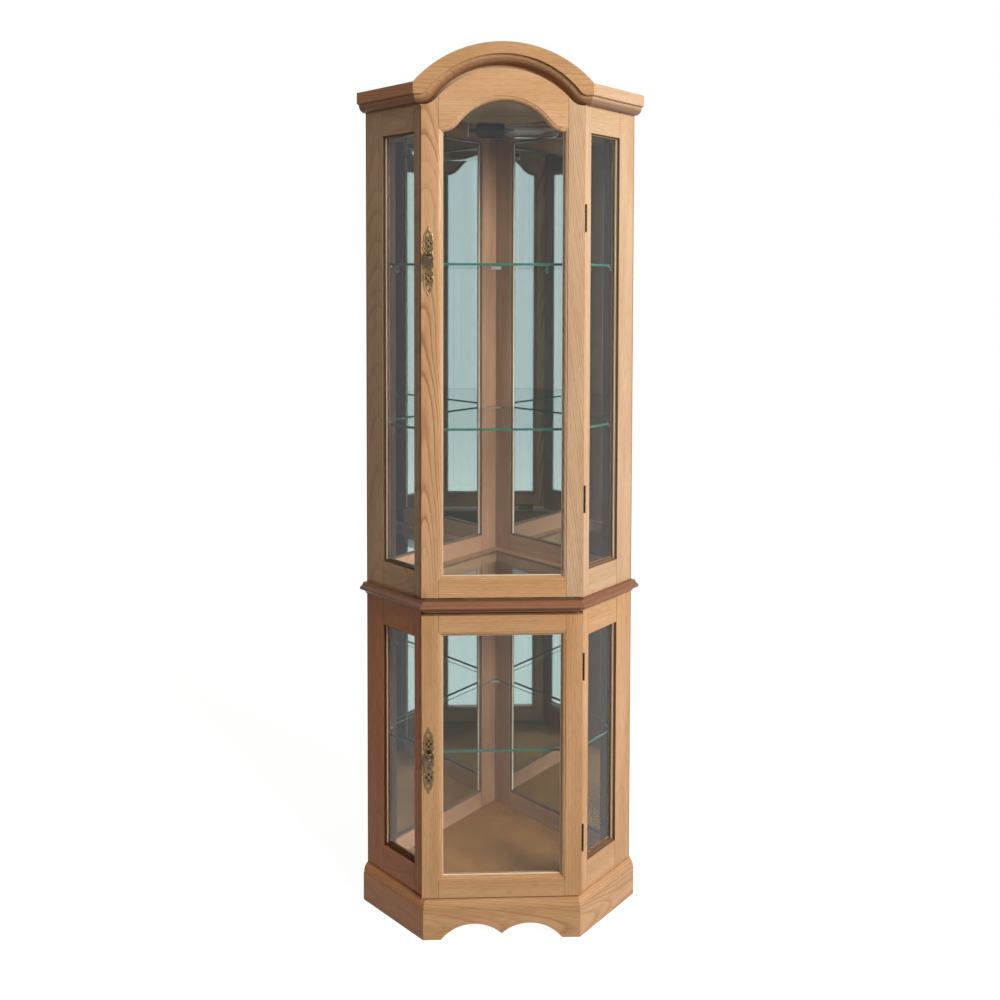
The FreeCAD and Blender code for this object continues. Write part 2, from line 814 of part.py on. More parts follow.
def side_moulding(label, profile, out, front_out, height):
    """A straight moulding on the right side frame: mitred at its front end and square at the back."""
    start = derive(f"{label}_start", f"(Plan.side_line - 2 * {front_out} + 2 * {out}) / sqrt(2)")
    body = new_body(label)
    blank_start = derive(f"{label}_blank_start", f"{start} - {out} - {MARGIN}")
    pad(body, "YZ", profile, f"{BACK_LINE} / sqrt(2) - {blank_start}")
    # From above, the mitre leaves the back edge at the start and falls back as the moulding stands out.
    corner = f"({start} - {blank_start})"
    waste = [
        (f"{corner} + {MARGIN} * {MITRE}", MARGIN),
        (f"{corner} - ({out} + {MARGIN}) * {MITRE}", f"-({out} + {MARGIN})"),
        (f"-{MARGIN}", f"-({out} + {MARGIN})"),
        (f"-{MARGIN}", MARGIN),
    ]
    pocket(body, "XY", [waste])
    return place(body, SIDE, blank_start, "0", height)


def front_moulding(label, profile, out, front_out, height):
    """A straight moulding across the front, mitred at both ends, its back out - front_out behind the face."""
    corner_x = derive(f"{label}_corner_x", f"Plan.side_line + {out} * sqrt(2) - {front_out}")
    half = f"({corner_x} + {MARGIN})"
    body = new_body(label)
    pad(body, "YZ", profile, f"2 * {half}", offset=f"-{half}")
    waste = corner_waste(corner_x, f"-{out}", out)
    pocket(body, "XY", [waste, flipped(waste)])
    return place(body, FRONT, "0", f"{out} - {front_out}", height)


# ---------------------------------------------------------------- sub-assemblies


def build_plinth():
    """Scalloped front apron and two side boards, with the floor board between them."""
    out, front_out = "Sizes.plinth_side_out", "Sizes.plinth_front_out"
    apron = front_moulding("plinth_front", plinth_profile(), out, front_out, "0")
    radius, spacing, crest = "Sizes.apron_arc_radius", "Sizes.apron_arc_spacing", "Sizes.apron_arc_top"
    cusp = derive("apron_cusp", f"{crest} - {radius} + sqrt({radius} ^ 2 - {spacing} ^ 2)")
    foot_x = derive("apron_foot_x", f"{spacing} + sqrt({radius} ^ 2 - ({radius} - {crest}) ^ 2)")
    scallop = [
        (foot_x, f"-{MARGIN}"),
        (foot_x, "0"),
        ("0", cusp, radius, 1),
        (f"-{foot_x}", "0", radius, 1),
        (f"-{foot_x}", f"-{MARGIN}"),
    ]
    pocket(apron, "XZ", [scallop])
    node(apron)
    node_pair(side_moulding("plinth_side", plinth_profile(), out, front_out, "0"), "plinth_{}")

    floor_board = new_body("floor_board")
    front = f"{out} - {front_out}"
    rear_x = f"({FRAME_BACK_LINE} + {INNER_SIDE_LINE}) / 2"
    rear_y = f"({FRAME_BACK_LINE} - {INNER_SIDE_LINE}) / 2"
    outline = [
        (f"-{INNER_END_X}", front),
        (INNER_END_X, front),
        (INNER_END_X, INNER_END_Y),
        (rear_x, rear_y),
        ("0", FRAME_BACK_LINE),
        (f"-{rear_x}", rear_y),
        (f"-{INNER_END_X}", INNER_END_Y),
    ]
    pad(floor_board, "XY", outline, "Sizes.board_thickness")
    node(place(floor_board, FRONT, height="Sizes.floor_top - Sizes.board_thickness"))


def build_side(name, bottom, top, low_flat, high_flat):
    """A glazed side frame of one section, right and left, with its pane."""
    label = f"{name} side"
    height = f"({top} - ({bottom}))"
    flats = ("Sizes.side_front_flat", "Sizes.side_rear_flat", low_flat, high_flat)
    members = rectangular_frame(label, SIDE, SIDE_START, SIDE_LENGTH, bottom, height, flats, SIDE_STOCK)
    along = (f"({SIDE_START} + {flats[0]})", f"({SIDE_START} + {SIDE_LENGTH} - {flats[1]})")
    up = (f"({bottom} + {low_flat})", f"({top} - {high_flat})")
    strips = beads(label, SIDE, along, up, SIDE_STOCK, "Sizes.panel_bead")
    node_pair(grouped(f"{label} frame", members + strips), f"{name}_{{}}_side_frame")
    glass = pane(f"{label} glass", SIDE, along, up, (SIDE_STOCK.rebate, "Sizes.glass_thickness"))
    node_pair(glass, f"{name}_{{}}_side_glass")


def build_back(name, bottom, top):
    """A framed mirror of one section, right and left, and the board behind the mirror, which is returned.

    The two frames meet in a mitre at the rear corner."""
    label = f"{name} back"
    height = f"({top} - ({bottom}))"
    thickness, rail_flat = BACK_STOCK.thickness, "Sizes.back_rail_flat"
    flats = ("Sizes.back_inner_flat", "Sizes.back_outer_flat", rail_flat, rail_flat)
    mitred_edge = [(f"-{thickness} + {GAP}", thickness), (GAP, "0")]
    members = rectangular_frame(label, BACK, "0", BACK_LENGTH, bottom, height, flats, BACK_STOCK, mitred_edge)
    node_pair(grouped(f"{label} frame", members), f"{name}_{{}}_back_frame")
    along = (flats[0], f"({BACK_LENGTH} - {flats[1]})")
    up = (f"({bottom} + {rail_flat})", f"({top} - {rail_flat})")
    mirror = pane(f"{name} mirror", BACK, along, up, (BACK_STOCK.rebate, "Sizes.mirror_thickness"))
    node_pair(mirror, f"{name}_{{}}_mirror")
    behind = f"({BACK_STOCK.rebate} + Sizes.mirror_thickness)"
    return pane(f"{name} backing", BACK, along, up, (behind, f"{thickness} - {behind}"))


def build_back_panels(backings):
    """Two thin boards over the whole back, meeting at the rear corner, and the boards behind the mirrors."""
    sheet_thickness, frame = "Sizes.back_panel_thickness", "Sizes.back_frame_thickness"
    panel = new_body("back panel")
    length = derive("back_panel_length", f"({BACK_LINE} + {SIDE_LINE}) / sqrt(2)")
    end = f"{length} - {sheet_thickness} - {frame}"
    outline = [
        (f"-{frame} + {GAP}", "0"),
        (end, "0"),
        (end, sheet_thickness),
        (f"-{sheet_thickness} - {frame} + {GAP}", sheet_thickness),
    ]
    pad(panel, "XY", outline, TOP_OF_TOP)
    place(panel, BACK, "0", frame)
    boards = [panel, *backings]
    node(grouped("back_panels", boards + [mirrored(f"left {board.Label}", board) for board in boards]))


def build_deck():
    """Deck between the sections: a wood border with a pane of glass let into its top, and its moulding."""
    out, front_out = "Sizes.waist_side_out", "Sizes.waist_front_out"
    front = f"({out} - {front_out})"
    deck = new_body("deck_frame")
    pad(deck, "XY", board_outline(SIDE_LINE, front, FRAME_BACK_LINE), "Sizes.waist_height")
    border = "Sizes.deck_border * sqrt(2)"
    hole = board_outline(
        f"({INNER_SIDE_LINE} - {border})", "Sizes.deck_front_border", f"({INNER_BACK_LINE} - {border})"
    )
    pocket(deck, "XY", [hole])
    seat = "Sizes.deck_glass_seat"
    wide = f"{seat} * sqrt(2)"
    seat_outline = board_outline(
        f"({INNER_SIDE_LINE} - {border} + {wide})",
        f"(Sizes.deck_front_border - {seat})",
        f"({INNER_BACK_LINE} - {border} + {wide})",
    )
    seat_bottom = "Sizes.waist_height - Sizes.deck_glass_thickness"
    pocket(deck, "XY", [seat_outline], "Sizes.deck_glass_thickness", seat_bottom)
    node(place(deck, FRONT, height="Sizes.lower_height"))

    glass = new_body("deck_glass")
    play = "Sizes.glass_clearance"
    slack = f"{play} * sqrt(2)"
    glass_outline = board_outline(
        f"({INNER_SIDE_LINE} - {border} + {wide} - {slack})",
        f"(Sizes.deck_front_border - {seat} + {play})",
        f"({INNER_BACK_LINE} - {border} + {wide} - {slack})",
    )
    pad(glass, "XY", glass_outline, "Sizes.deck_glass_thickness")
    node(place(glass, FRONT, height=f"{WAIST_TOP} - Sizes.deck_glass_thickness"))

    level = "Sizes.lower_height"
    node(front_moulding("waist_front", waist_profile(), out, front_out, level))
    node_pair(side_moulding("waist_side", waist_profile(), out, front_out, level), "waist_{}")


def build_top():
    """Top board, arched header behind the upper door, and the arched cornice."""
    top = new_body("top_panel")
    pad(top, "XY", board_outline(INNER_SIDE_LINE, HEADER_BACK, FRAME_BACK_LINE), "Sizes.board_thickness")
    node(place(top, FRONT, height=CEILING))

    half = f"({INNER_END_X} - {GAP})"
    header = new_body("header_board")
    low = f"({HEADER_ARCH.base} - {MARGIN})"
    blank = [
        (f"-{half}", low),
        (half, low),
        (half, FASCIA_TOP),
        (f"-{half}", FASCIA_TOP, CROWN_RADIUS, 1),
    ]
    pad(header, "XZ", blank, "Sizes.board_thickness")
    past = f"({half} + {MARGIN})"
    below = [
        *arch_points(HEADER_ARCH, past),
        (f"-{past}", f"{low} - {MARGIN}"),
        (past, f"{low} - {MARGIN}"),
    ]
    pocket(header, "XZ", [below])
    node(place(header, FRONT, depth=HEADER_FRONT))

    node(build_cornice_front())
    back = "0"
    side_out, front_out = "Sizes.cornice_side_out", "Sizes.cornice_front_out"
    profile = [
        (back, CORNICE_BOTTOM),
        (back, FASCIA_TOP),
        (f"-{side_out}", FASCIA_TOP),
        (f"-{side_out}", FASCIA_BOTTOM),
        *mould_outline(back)[2:],
    ]
    node_pair(side_moulding("cornice_side", profile, side_out, front_out, "0"), "cornice_{}")


def build_cornice_front():
    """Arched fascia with the moulding swept along its lower edge, mitred to the side pieces."""
    out, front_out = "Sizes.cornice_side_out", "Sizes.cornice_front_out"
    far = f"({CORNER_X} + {MARGIN})"
    back = derive("cornice_back", f"Plan.header_front + {front_out} - {out}")
    cornice = new_body("cornice_front")
    arch = arch_points(MOULD_TOP, far, leftward=False)
    fascia = [
        *arch,
        (far, FASCIA_TOP),
        (CORNER_X, FASCIA_TOP),
        (f"-{CORNER_X}", FASCIA_TOP, CROWN_RADIUS, 1),
        (f"-{far}", FASCIA_TOP),
    ]
    pad(cornice, "XZ", fascia, f"{out} + {back}", offset=out)
    sweep(cornice, [mould_outline(back)], arch, f"-{far}")
    # Behind the mitre the piece is cut back round the front end of the side frame.
    corner = derive("cornice_notch_x", "half_door + Sizes.door_gap / sqrt(2)")
    corner_y = f"(Sizes.door_proud + Sizes.door_gap / sqrt(2) + {front_out} - {out})"
    inner_x = f"{corner} + {corner_y} - {back}"
    notch = [(corner, corner_y), (inner_x, back), (inner_x, f"{out} + {MARGIN}")]
    waste = corner_waste(CORNER_X, f"-{out}", out, notch)
    pocket(cornice, "XY", [waste, flipped(waste)])
    return place(cornice, FRONT, depth=f"{out} - {front_out}")


def door_stile(label, bottom, height, top_flat):
    """Left stile of a door, with the back of its outer edge bevelled to the side frame's end."""
    bevel, thickness = "Sizes.door_edge_bevel", DOOR_STOCK.thickness
    edge = [(bevel, thickness), ("0", f"{thickness} - {bevel}"), ("0", "0")]
    opening = (f"Sizes.door_rail_flat + {GAP}", f"{height} - ({top_flat}) - {GAP}")
    member = stile(label, "Sizes.door_stile_flat", height, opening, DOOR_STOCK, edge)
    return place(member, DOOR, height=bottom)


def door_rail(label, height, turn):
    """Straight rail of a door between its stiles."""
    beside = f"Sizes.door_stile_flat + {GAP}"
    member = rail(label, "Sizes.door_rail_flat", f"(Sizes.door_width - 2 * ({beside}))", DOOR_STOCK)
    along = f"Sizes.door_width - ({beside})" if turn == RAIL_UP else beside
    return place(member, DOOR, along, "0", height, turn)


def build_lower_door():
    """Door with a rectangular pane."""
    bottom, height = LOWER_DOOR_BOTTOM, f"({LOWER_DOOR_TOP} - {LOWER_DOOR_BOTTOM})"
    left = door_stile("lower_door_left_stile", bottom, height, "Sizes.door_rail_flat")
    node(left)
    node(mirrored("lower_door_right_stile", left))
    node(door_rail("lower_door_bottom_rail", bottom, RAIL_UP))
    node(door_rail("lower_door_top_rail", LOWER_DOOR_TOP, RAIL_DOWN))
    along = ("Sizes.door_stile_flat", "(Sizes.door_width - Sizes.door_stile_flat)")
    up = (f"({bottom} + Sizes.door_rail_flat)", f"({LOWER_DOOR_TOP} - Sizes.door_rail_flat)")
    node(pane("lower_door_glass", DOOR, along, up, (DOOR_STOCK.rebate, "Sizes.glass_thickness")))
    node(grouped("lower_door_beads", beads("lower door", DOOR, along, up, DOOR_STOCK, "Sizes.door_bead")))


def build_upper_door():
    """Door with an arched top and an arched pane."""
    bottom = UPPER_DOOR_BOTTOM
    height = f"({DOOR_ARCH.apex} - {bottom})"
    top_flat = "(Sizes.opening_drop + Sizes.upper_door_rise)"
    arch = arch_points(DOOR_ARCH, f"{HALF_DOOR} + {MARGIN}")
    above = [
        *[(f"{x} + {HALF_DOOR}", f"{z} - {bottom}", *bend) for x, z, *bend in arch],
        (f"-{MARGIN}", f"{height} + {MARGIN}"),
        (f"2 * {HALF_DOOR} + {MARGIN}", f"{height} + {MARGIN}"),
    ]
    left = door_stile("upper_door_left_stile", bottom, height, top_flat)
    pocket(left, "XZ", [above])
    node(left)
    node(mirrored("upper_door_right_stile", left))
    node(door_rail("upper_door_bottom_rail", bottom, RAIL_UP))
    node(build_arched_rail())
    node(build_arched_glass())
    node(build_arched_beads())


def build_arched_rail():
    """Top rail: arched above and below, with the moulded edge swept round the reversed curves."""
    half = f"({HALF_DOOR} - Sizes.door_stile_flat - {GAP})"
    peak = f"({DOOR_ARCH.apex} + {MARGIN})"
    body = new_body("upper_door_top_rail")
    arch = arch_points(OPENING_ARCH, half, leftward=False)
    pad(body, "XZ", [*arch, (half, peak), (f"-{half}", peak)], DOOR_STOCK.thickness)
    past = f"({half} + {MARGIN})"
    above = [
        *arch_points(DOOR_ARCH, past),
        (f"-{past}", f"{peak} + {MARGIN}"),
        (past, f"{peak} + {MARGIN}"),
    ]
    pocket(body, "XZ", [above])
    base = OPENING_ARCH.base
    moulded = [(depth, f"{base} - {across}", *bend) for across, depth, *bend in DOOR_STOCK.edge]
    rebate = [(DOOR_STOCK.rebate, f"{base} - {DOOR_STOCK.lip}"), (DOOR_STOCK.rebate, base)]
    sweep(body, [moulded + rebate], arch, f"-{half}")
    edge = f"({DOOR_STOCK.lip} + {MARGIN})"
    mitre = [
        (half, base),
        (f"{half} - {edge}", f"{base} - {edge}"),
        (f"{half} + {MARGIN}", f"{base} - {edge}"),
        (f"{half} + {MARGIN}", base),
    ]
    pocket(body, "XZ", [mitre, flipped(mitre)])
    eased = eased_end(half, "-")
    pocket(body, "XY", [eased, flipped(eased)])
    return place(body, FRONT)


def build_arched_glass():
    """Pane of the upper door, with the arch at its top."""
    half = f"({HALF_DOOR} - Sizes.door_stile_flat - Sizes.glass_clearance)"
    low = f"({UPPER_DOOR_BOTTOM} + Sizes.door_rail_flat + Sizes.glass_clearance)"
    glass = new_body("upper_door_glass")
    outline = [*arch_points(GLASS_ARCH, half), (f"-{half}", low), (half, low)]
    pad(glass, "XZ", outline, "Sizes.glass_thickness")
    return place(glass, FRONT, depth=DOOR_STOCK.rebate)


def build_arched_beads():
    """Three straight strips and an arched one behind the upper door's pane."""
    half = f"({HALF_DOOR} - Sizes.door_stile_flat - {GAP})"
    low = f"({UPPER_DOOR_BOTTOM} + Sizes.door_rail_flat + {GAP})"
    wide = "Sizes.door_bead"
    depth = bead_depth(DOOR_STOCK)
    arched = new_body("arched bead")
    outline = [*arch_points(GLASS_ARCH, half), *arch_points(BEAD_ARCH, half, leftward=False)]
    pad(arched, "XZ", outline, depth[1])
    place(arched, FRONT, depth=depth[0])
    upright = (low, f"{BEAD_ARCH.base} - {GAP} - {low}")
    level = (f"-{half} + {wide} + {GAP}", f"2 * ({half} - {wide} - {GAP})")
    strips = [
        box("upper door bead", FRONT, (f"-{half}", wide), depth, upright),
        box("upper door bead", FRONT, (f"{half} - {wide}", wide), depth, upright),
        box("upper door bead", FRONT, level, depth, (low, wide)),
    ]
    return grouped("upper_door_beads", [arched, *strips])


def build_hinges():
    """Butt hinges in the gap at the right-hand corner, with the pin just outside it."""
    middle = f"({PIN_LINE} - {PIN_SIDE}) / 2"
    pin = Wall(f"({PIN_LINE} + {PIN_SIDE}) / 2", f"{FACE_Y} + {middle}", 180 - WALL_ANGLE)
    ends = {"upper": (UPPER_DOOR_BOTTOM, DOOR_TOP), "lower": (LOWER_DOOR_BOTTOM, LOWER_DOOR_TOP)}
    case_leaves = []
    door_leaves = {"upper": [], "lower": []}
    for section, (foot, head) in ends.items():
        levels = {
            "low": f"({foot} + Sizes.{section}_hinge_foot)",
            "high": f"({head} - Sizes.{section}_hinge_head - Sizes.hinge_height)",
        }
        for name, low in levels.items():
            case_leaves.append(case_leaf(f"{section} {name} hinge", pin, low))
            door_leaves[section].append(door_leaf(f"{section} {name} hinge", pin, low))
    node(grouped("case_hinge_leaves", case_leaves))
    for section, leaves in door_leaves.items():
        node(grouped(f"{section}_door_hinge_leaves", leaves))


def hinge_half(name, pin, leaf_depth, leaf, knuckles):
    """A leaf with its knuckles: leaf and each knuckle are a start and a height, and x runs into the gap."""
    thin, knuckle_radius = "Sizes.hinge_sheet", "Sizes.knuckle_radius"
    start = f"({knuckle_radius} + Sizes.knuckle_gap)"
    pieces = [box(f"{name} plate", pin, (start, "Sizes.hinge_leaf_width"), (leaf_depth, thin), leaf)]
    for knuckle in knuckles:
        pieces += [
            box(f"{name} tab", pin, ("0", f"{start} + {thin}"), (leaf_depth, thin), knuckle),
            cylinder(f"{name} knuckle", pin, knuckle_radius, knuckle[1], "0", "0", knuckle[0]),
        ]
    return pieces


def case_leaf(name, pin, low):
    """Leaf on the side frame, with two knuckles and the pin. Across the gap, y is negative on its side."""
    height = "Sizes.hinge_height"
    third = f"({height} / 3)"
    knuckles = [(low, third), (f"{low} + 2 * {third}", third)]
    pieces = hinge_half(f"{name} case", pin, "-Sizes.door_gap / 2", (low, height), knuckles)
    pieces.append(cylinder(f"{name} pin", pin, "Sizes.hinge_pin_radius", height, "0", "0", low))
    return fused(f"{name} case leaf", pieces)


def door_leaf(name, pin, low):
    """Leaf on the door, with the middle knuckle bored for the pin."""
    height, clear = "Sizes.hinge_height", "Sizes.knuckle_gap"
    third = f"({height} / 3)"
    knuckle = (f"{low} + {third} + {clear}", f"{third} - 2 * {clear}")
    depth = "Sizes.door_gap / 2 - Sizes.hinge_sheet"
    blank = fused(f"{name} door leaf blank", hinge_half(f"{name} door", pin, depth, (low, height), [knuckle]))
    bore = cylinder(f"{name} bore", pin, "Sizes.hinge_bore_radius", height, "0", "0", low)
    return bored(f"{name} door leaf", blank, bore)


SIDEWAYS = Rotation(Vector(0, 1, 0), 90)  # a cylinder's axis along the wall


def half_plate_edge():
    """Right-hand edge of a handle plate's upper half, from the middle up to the tip."""
    half = "(Sizes.plate_height / 2)"
    shoulder, ogee = "Sizes.plate_shoulder", "Sizes.plate_ogee"
    return [
        ("Sizes.plate_middle", "0"),
        ("Sizes.plate_neck", "Sizes.plate_neck_height", "Sizes.plate_waist_bow", 1),
        ("Sizes.plate_spur", "Sizes.plate_spur_height"),
        (shoulder, "Sizes.plate_shoulder_low"),
        (shoulder, "Sizes.plate_shoulder_high", "Sizes.plate_bow", 1),
        ("Sizes.plate_tip_half_width", f"{half} - Sizes.plate_tip", ogee, 1),
        ("0", half, ogee, -1),
    ]


def plate_outline():
    """The whole outline of a handle plate, counter-clockwise from the right of its middle."""
    upper_right = half_plate_edge()
    upper_left = backwards([(f"-({x})", z, *bend) for x, z, *bend in upper_right])
    lower_left = [(f"-({x})", f"-({z})", *bend) for x, z, *bend in upper_right]
    lower_right = backwards([(x, f"-({z})", *bend) for x, z, *bend in upper_right])
    return [lower_right[-1], *upper_right[1:], *upper_left[1:], *lower_left[1:], *lower_right[1:-1]]


def backwards(path):
    """An open path drawn from its other end. The caller mirrors its points, so its arcs keep their turn."""
    bends = [(), *[point[2:] for point in reversed(path[1:])]]
    return [(point[0], point[1], *bend) for point, bend in zip(reversed(path), bends)]


def plate_holes():
    """Four lozenges round the centre of each lattice, and an eyelet towards each tip."""
    across, up = "Sizes.lattice_across", "Sizes.lattice_up"
    half_wide, half_high = "Sizes.lattice_hole_across", "Sizes.lattice_hole_up"
    holes = []
    for side in ("", "-"):
        for x, rise in (("0", up), ("0", f"-{up}"), (across, "0"), (f"-{across}", "0")):
            z = f"({side}Sizes.lattice_height + {rise})"
            low, high = f"{z} - {half_high}", f"{z} + {half_high}"
            holes.append([(x, low), (f"{x} + {half_wide}", z), (x, high), (f"{x} - {half_wide}", z)])
        eye, reach, bow = f"{side}Sizes.eyelet_height", "Sizes.eyelet_reach", "Sizes.eyelet_bow"
        holes.append([("0", f"{eye} - {reach}", bow, 1), ("0", f"{eye} + {reach}", bow, 1)])
    return holes


def build_handle(section, door_bottom):
    """Pierced backplate with two ears and a pin, and the drop pull that hangs from it."""
    level = f"({door_bottom} + Sizes.{section}_plate_height)"
    centre = f"-{HALF_DOOR} + Sizes.plate_edge"
    thick = "Sizes.plate_thickness"
    plate = new_body(f"{section} plate sheet")
    pad(plate, "XZ", plate_outline(), thick)
    pocket(plate, "XZ", plate_holes())
    place(plate, FRONT, centre, f"-{thick}", level)

    pivot = f"{level} + Sizes.pull_pivot_height"
    depth = f"-{PULL_DEPTH}"
    ear_start = "(Sizes.pull_eye_width / 2 + Sizes.ear_gap)"
    ear_wide, ear_radius = "Sizes.ear_thickness", "Sizes.ear_radius"
    pieces = [plate]
    for side in (ear_start, f"-{ear_start} - {ear_wide}"):
        start = f"{centre} + {side}"
        reach = (depth, f"{PULL_DEPTH} - {thick} / 2")
        upright = (f"{pivot} - {ear_radius}", f"2 * {ear_radius}")
        pieces += [
            cylinder(f"{section} ear round", FRONT, ear_radius, ear_wide, start, depth, pivot, SIDEWAYS),
            box(f"{section} ear", FRONT, (start, ear_wide), reach, upright),
        ]
    pin_start, pin_length = f"{centre} - {ear_start} - {ear_wide}", f"2 * ({ear_start} + {ear_wide})"
    pin_radius = "Sizes.pull_pin_radius"
    pin = cylinder(f"{section} pull pin", FRONT, pin_radius, pin_length, pin_start, depth, pivot, SIDEWAYS)
    node(fused(f"{section}_handle_plate", [*pieces, pin]))
    node(build_drop(section, centre, depth, pivot))


def build_drop(section, centre, depth, pivot):
    """Turned drop with an eye at its top, bored for the pin."""
    drop = new_body(f"{section} drop")
    neck, length = "Sizes.pull_neck", "Sizes.pull_length"
    profile = [
        ("0", f"-{neck} / 2"),
        ("0", f"-{length}"),
        ("Sizes.pull_tip", f"-{length}"),
        ("Sizes.pull_belly_end_radius", "-Sizes.pull_belly_end"),
        ("Sizes.pull_radius", "-Sizes.pull_shoulder"),
        (neck, "-Sizes.pull_neck_length"),
        (neck, f"-{neck} / 2"),
    ]
    turn_profile(drop, profile, "V_Axis")
    place(drop, FRONT, centre, depth, pivot)
    wide, clear = "Sizes.pull_eye_width", "Sizes.ear_gap"
    eye_start = f"{centre} - {wide} / 2"
    eye = cylinder(f"{section} eye", FRONT, "Sizes.pull_eye_radius", wide, eye_start, depth, pivot, SIDEWAYS)
    bore_start, bore_length = f"{eye_start} - {clear}", f"{wide} + 2 * {clear}"
    radius = "Sizes.pull_bore_radius"
    bore = cylinder(f"{section} eye bore", FRONT, radius, bore_length, bore_start, depth, pivot, SIDEWAYS)
    return bored(f"{section}_handle_pull", fused(f"{section} pull blank", [drop, eye]), bore)


def turn_profile(body, profile, axis):
    """Turns an outline round an axis of its own sketch."""
    sketch = add_sketch(body, "XZ", [profile])
    turned = body.newObject("PartDesign::Revolution", "Turned")
    turned.Profile = sketch
    turned.ReferenceAxis = (sketch, [axis])
    turned.Angle = 360
    doc.recompute()
    return body


def build_catches():
    """Magnetic catches on the deck, behind the doors' rails, and the strike plates they hold."""
    wide, high = "Sizes.catch_width", "Sizes.catch_height"
    strike, strike_high, inset = "Sizes.strike_thickness", "Sizes.strike_height", "Sizes.strike_inset"
    along = (f"-Sizes.catch_offset - {wide} / 2", wide)
    depth = (f"Sizes.door_thickness + {strike} + Sizes.catch_gap", "Sizes.catch_depth")
    upper = box("upper catch", FRONT, along, depth, (WAIST_TOP, high))
    lower = box("lower catch", FRONT, along, depth, (f"Sizes.lower_height - {high}", high))
    node(grouped("magnetic_catches", [upper, lower]))
    plate = ("Sizes.door_thickness", strike)
    node(box("upper_door_strike", FRONT, along, plate, (f"{UPPER_DOOR_BOTTOM} + {inset}", strike_high)))
    lower_start = f"{LOWER_DOOR_TOP} - {inset} - {strike_high}"
    node(box("lower_door_strike", FRONT, along, plate, (lower_start, strike_high)))


def build_shelves():
    """Three glass shelves on clips."""
    play = "Sizes.shelf_clearance * sqrt(2)"
    side_line, back_line = f"({INNER_SIDE_LINE} - {play})", f"({INNER_BACK_LINE} - {play})"
    outline = board_outline(side_line, "Sizes.shelf_front", back_line)
    floors = {"lower": "Sizes.floor_top", "middle": WAIST_TOP, "top": WAIST_TOP}
    clips = []
    for name, floor in floors.items():
        level = f"{floor} + Sizes.{name}_shelf_rise"
        shelf = new_body(f"{name}_shelf")
        pad(shelf, "XY", outline, "Sizes.shelf_thickness")
        node(place(shelf, FRONT, height=level))
        clips += shelf_clips(name, level)
    node(grouped("shelf_clips", clips))


def shelf_clips(name, level):
    """A corner block in the rear corner and an angle on each outer stile and each front stile."""
    leg, wide, thin = "Sizes.clip_leg", "Sizes.clip_width", "Sizes.clip_sheet"
    reach, high = "Sizes.corner_clip_reach", "Sizes.corner_clip_height"
    corner = new_body(f"{name} corner clip")
    pad(corner, "XY", [("0", "0"), (f"-{reach}", f"-{reach}"), (reach, f"-{reach}")], high)
    place(corner, FRONT, "0", f"{INNER_BACK_LINE} - {GAP} / 2", f"{level} - {high}")
    angle = [
        ("0", "0"),
        (f"-{leg}", "0"),
        (f"-{leg}", f"-{thin}"),
        (f"-{thin}", f"-{thin}"),
        (f"-{thin}", f"-{leg}"),
        ("0", f"-{leg}"),
    ]
    back_clip = new_body(f"{name} back clip")
    pad(back_clip, "YZ", angle, wide)
    place(back_clip, BACK, f"{BACK_LENGTH} - (Sizes.back_outer_flat + {wide}) / 2", "0", level)
    front_clip = new_body(f"{name} front clip")
    pad(front_clip, "YZ", flipped(angle), wide)
    front_along = f"{SIDE_START} + (Sizes.side_front_flat - {wide}) / 2"
    place(front_clip, SIDE, front_along, "Sizes.frame_thickness", level)
    angles = (back_clip, front_clip)
    return [corner, *angles, *[mirrored(f"{clip.Label} left", clip) for clip in angles]]


def build_lamp():
    """Lamp holder on an angle under the top board, with a tubular bulb lying across the cabinet."""
    axis, depth = f"{CEILING} - Sizes.lamp_drop", "Sizes.lamp_depth"
    thin, wide, long = "Sizes.bracket_sheet", "Sizes.bracket_width", "Sizes.bracket_length"
    left, nipple = "-Sizes.socket_left", "Sizes.nipple_length"
    end = f"({left} - {nipple})"
    across = (f"{depth} - {wide} / 2", wide)
    drop = f"(Sizes.lamp_drop + {wide} / 2)"
    foot = box("bracket foot", FRONT, (f"{end} - {long}", long), across, (f"{CEILING} - {thin}", thin))
    arm = box("bracket arm", FRONT, (f"{end} - {thin}", thin), across, (f"{CEILING} - {drop}", drop))
    node(fused("lamp_bracket", [foot, arm]))

    length, radius = "Sizes.socket_length", "Sizes.socket_radius"
    floor, shoulder = "Sizes.socket_floor", "Sizes.socket_shoulder"
    neck = "Sizes.bulb_neck_radius"
    bore = f"{neck} + Sizes.bulb_play"
    holder = [
        (f"-{nipple}", "0"),
        (floor, "0"),
        (floor, bore),
        (length, bore),
        (length, radius),
        (shoulder, radius),
        ("0", "Sizes.socket_end_radius"),
        ("0", "Sizes.nipple_radius"),
        (f"-{nipple}", "Sizes.nipple_radius"),
    ]
    socket = turn_profile(new_body("lamp_socket"), holder, "H_Axis")
    node(place(socket, FRONT, left, depth, axis))

    foot_x, bulb_radius = f"{floor} + Sizes.bulb_play", "Sizes.bulb_radius"
    tip = f"({length} + Sizes.bulb_length)"
    glass = [
        (foot_x, "0"),
        (tip, "0"),
        (f"{tip} - {bulb_radius}", bulb_radius, bulb_radius, 1),
        (f"{length} + Sizes.bulb_shoulder", bulb_radius),
        (f"{length} + Sizes.bulb_neck_length", neck),
        (foot_x, neck),
    ]
    bulb = turn_profile(new_body("bulb"), glass, "H_Axis")
    node(place(bulb, FRONT, left, depth, axis))


# ---------------------------------------------------------------- checks and export


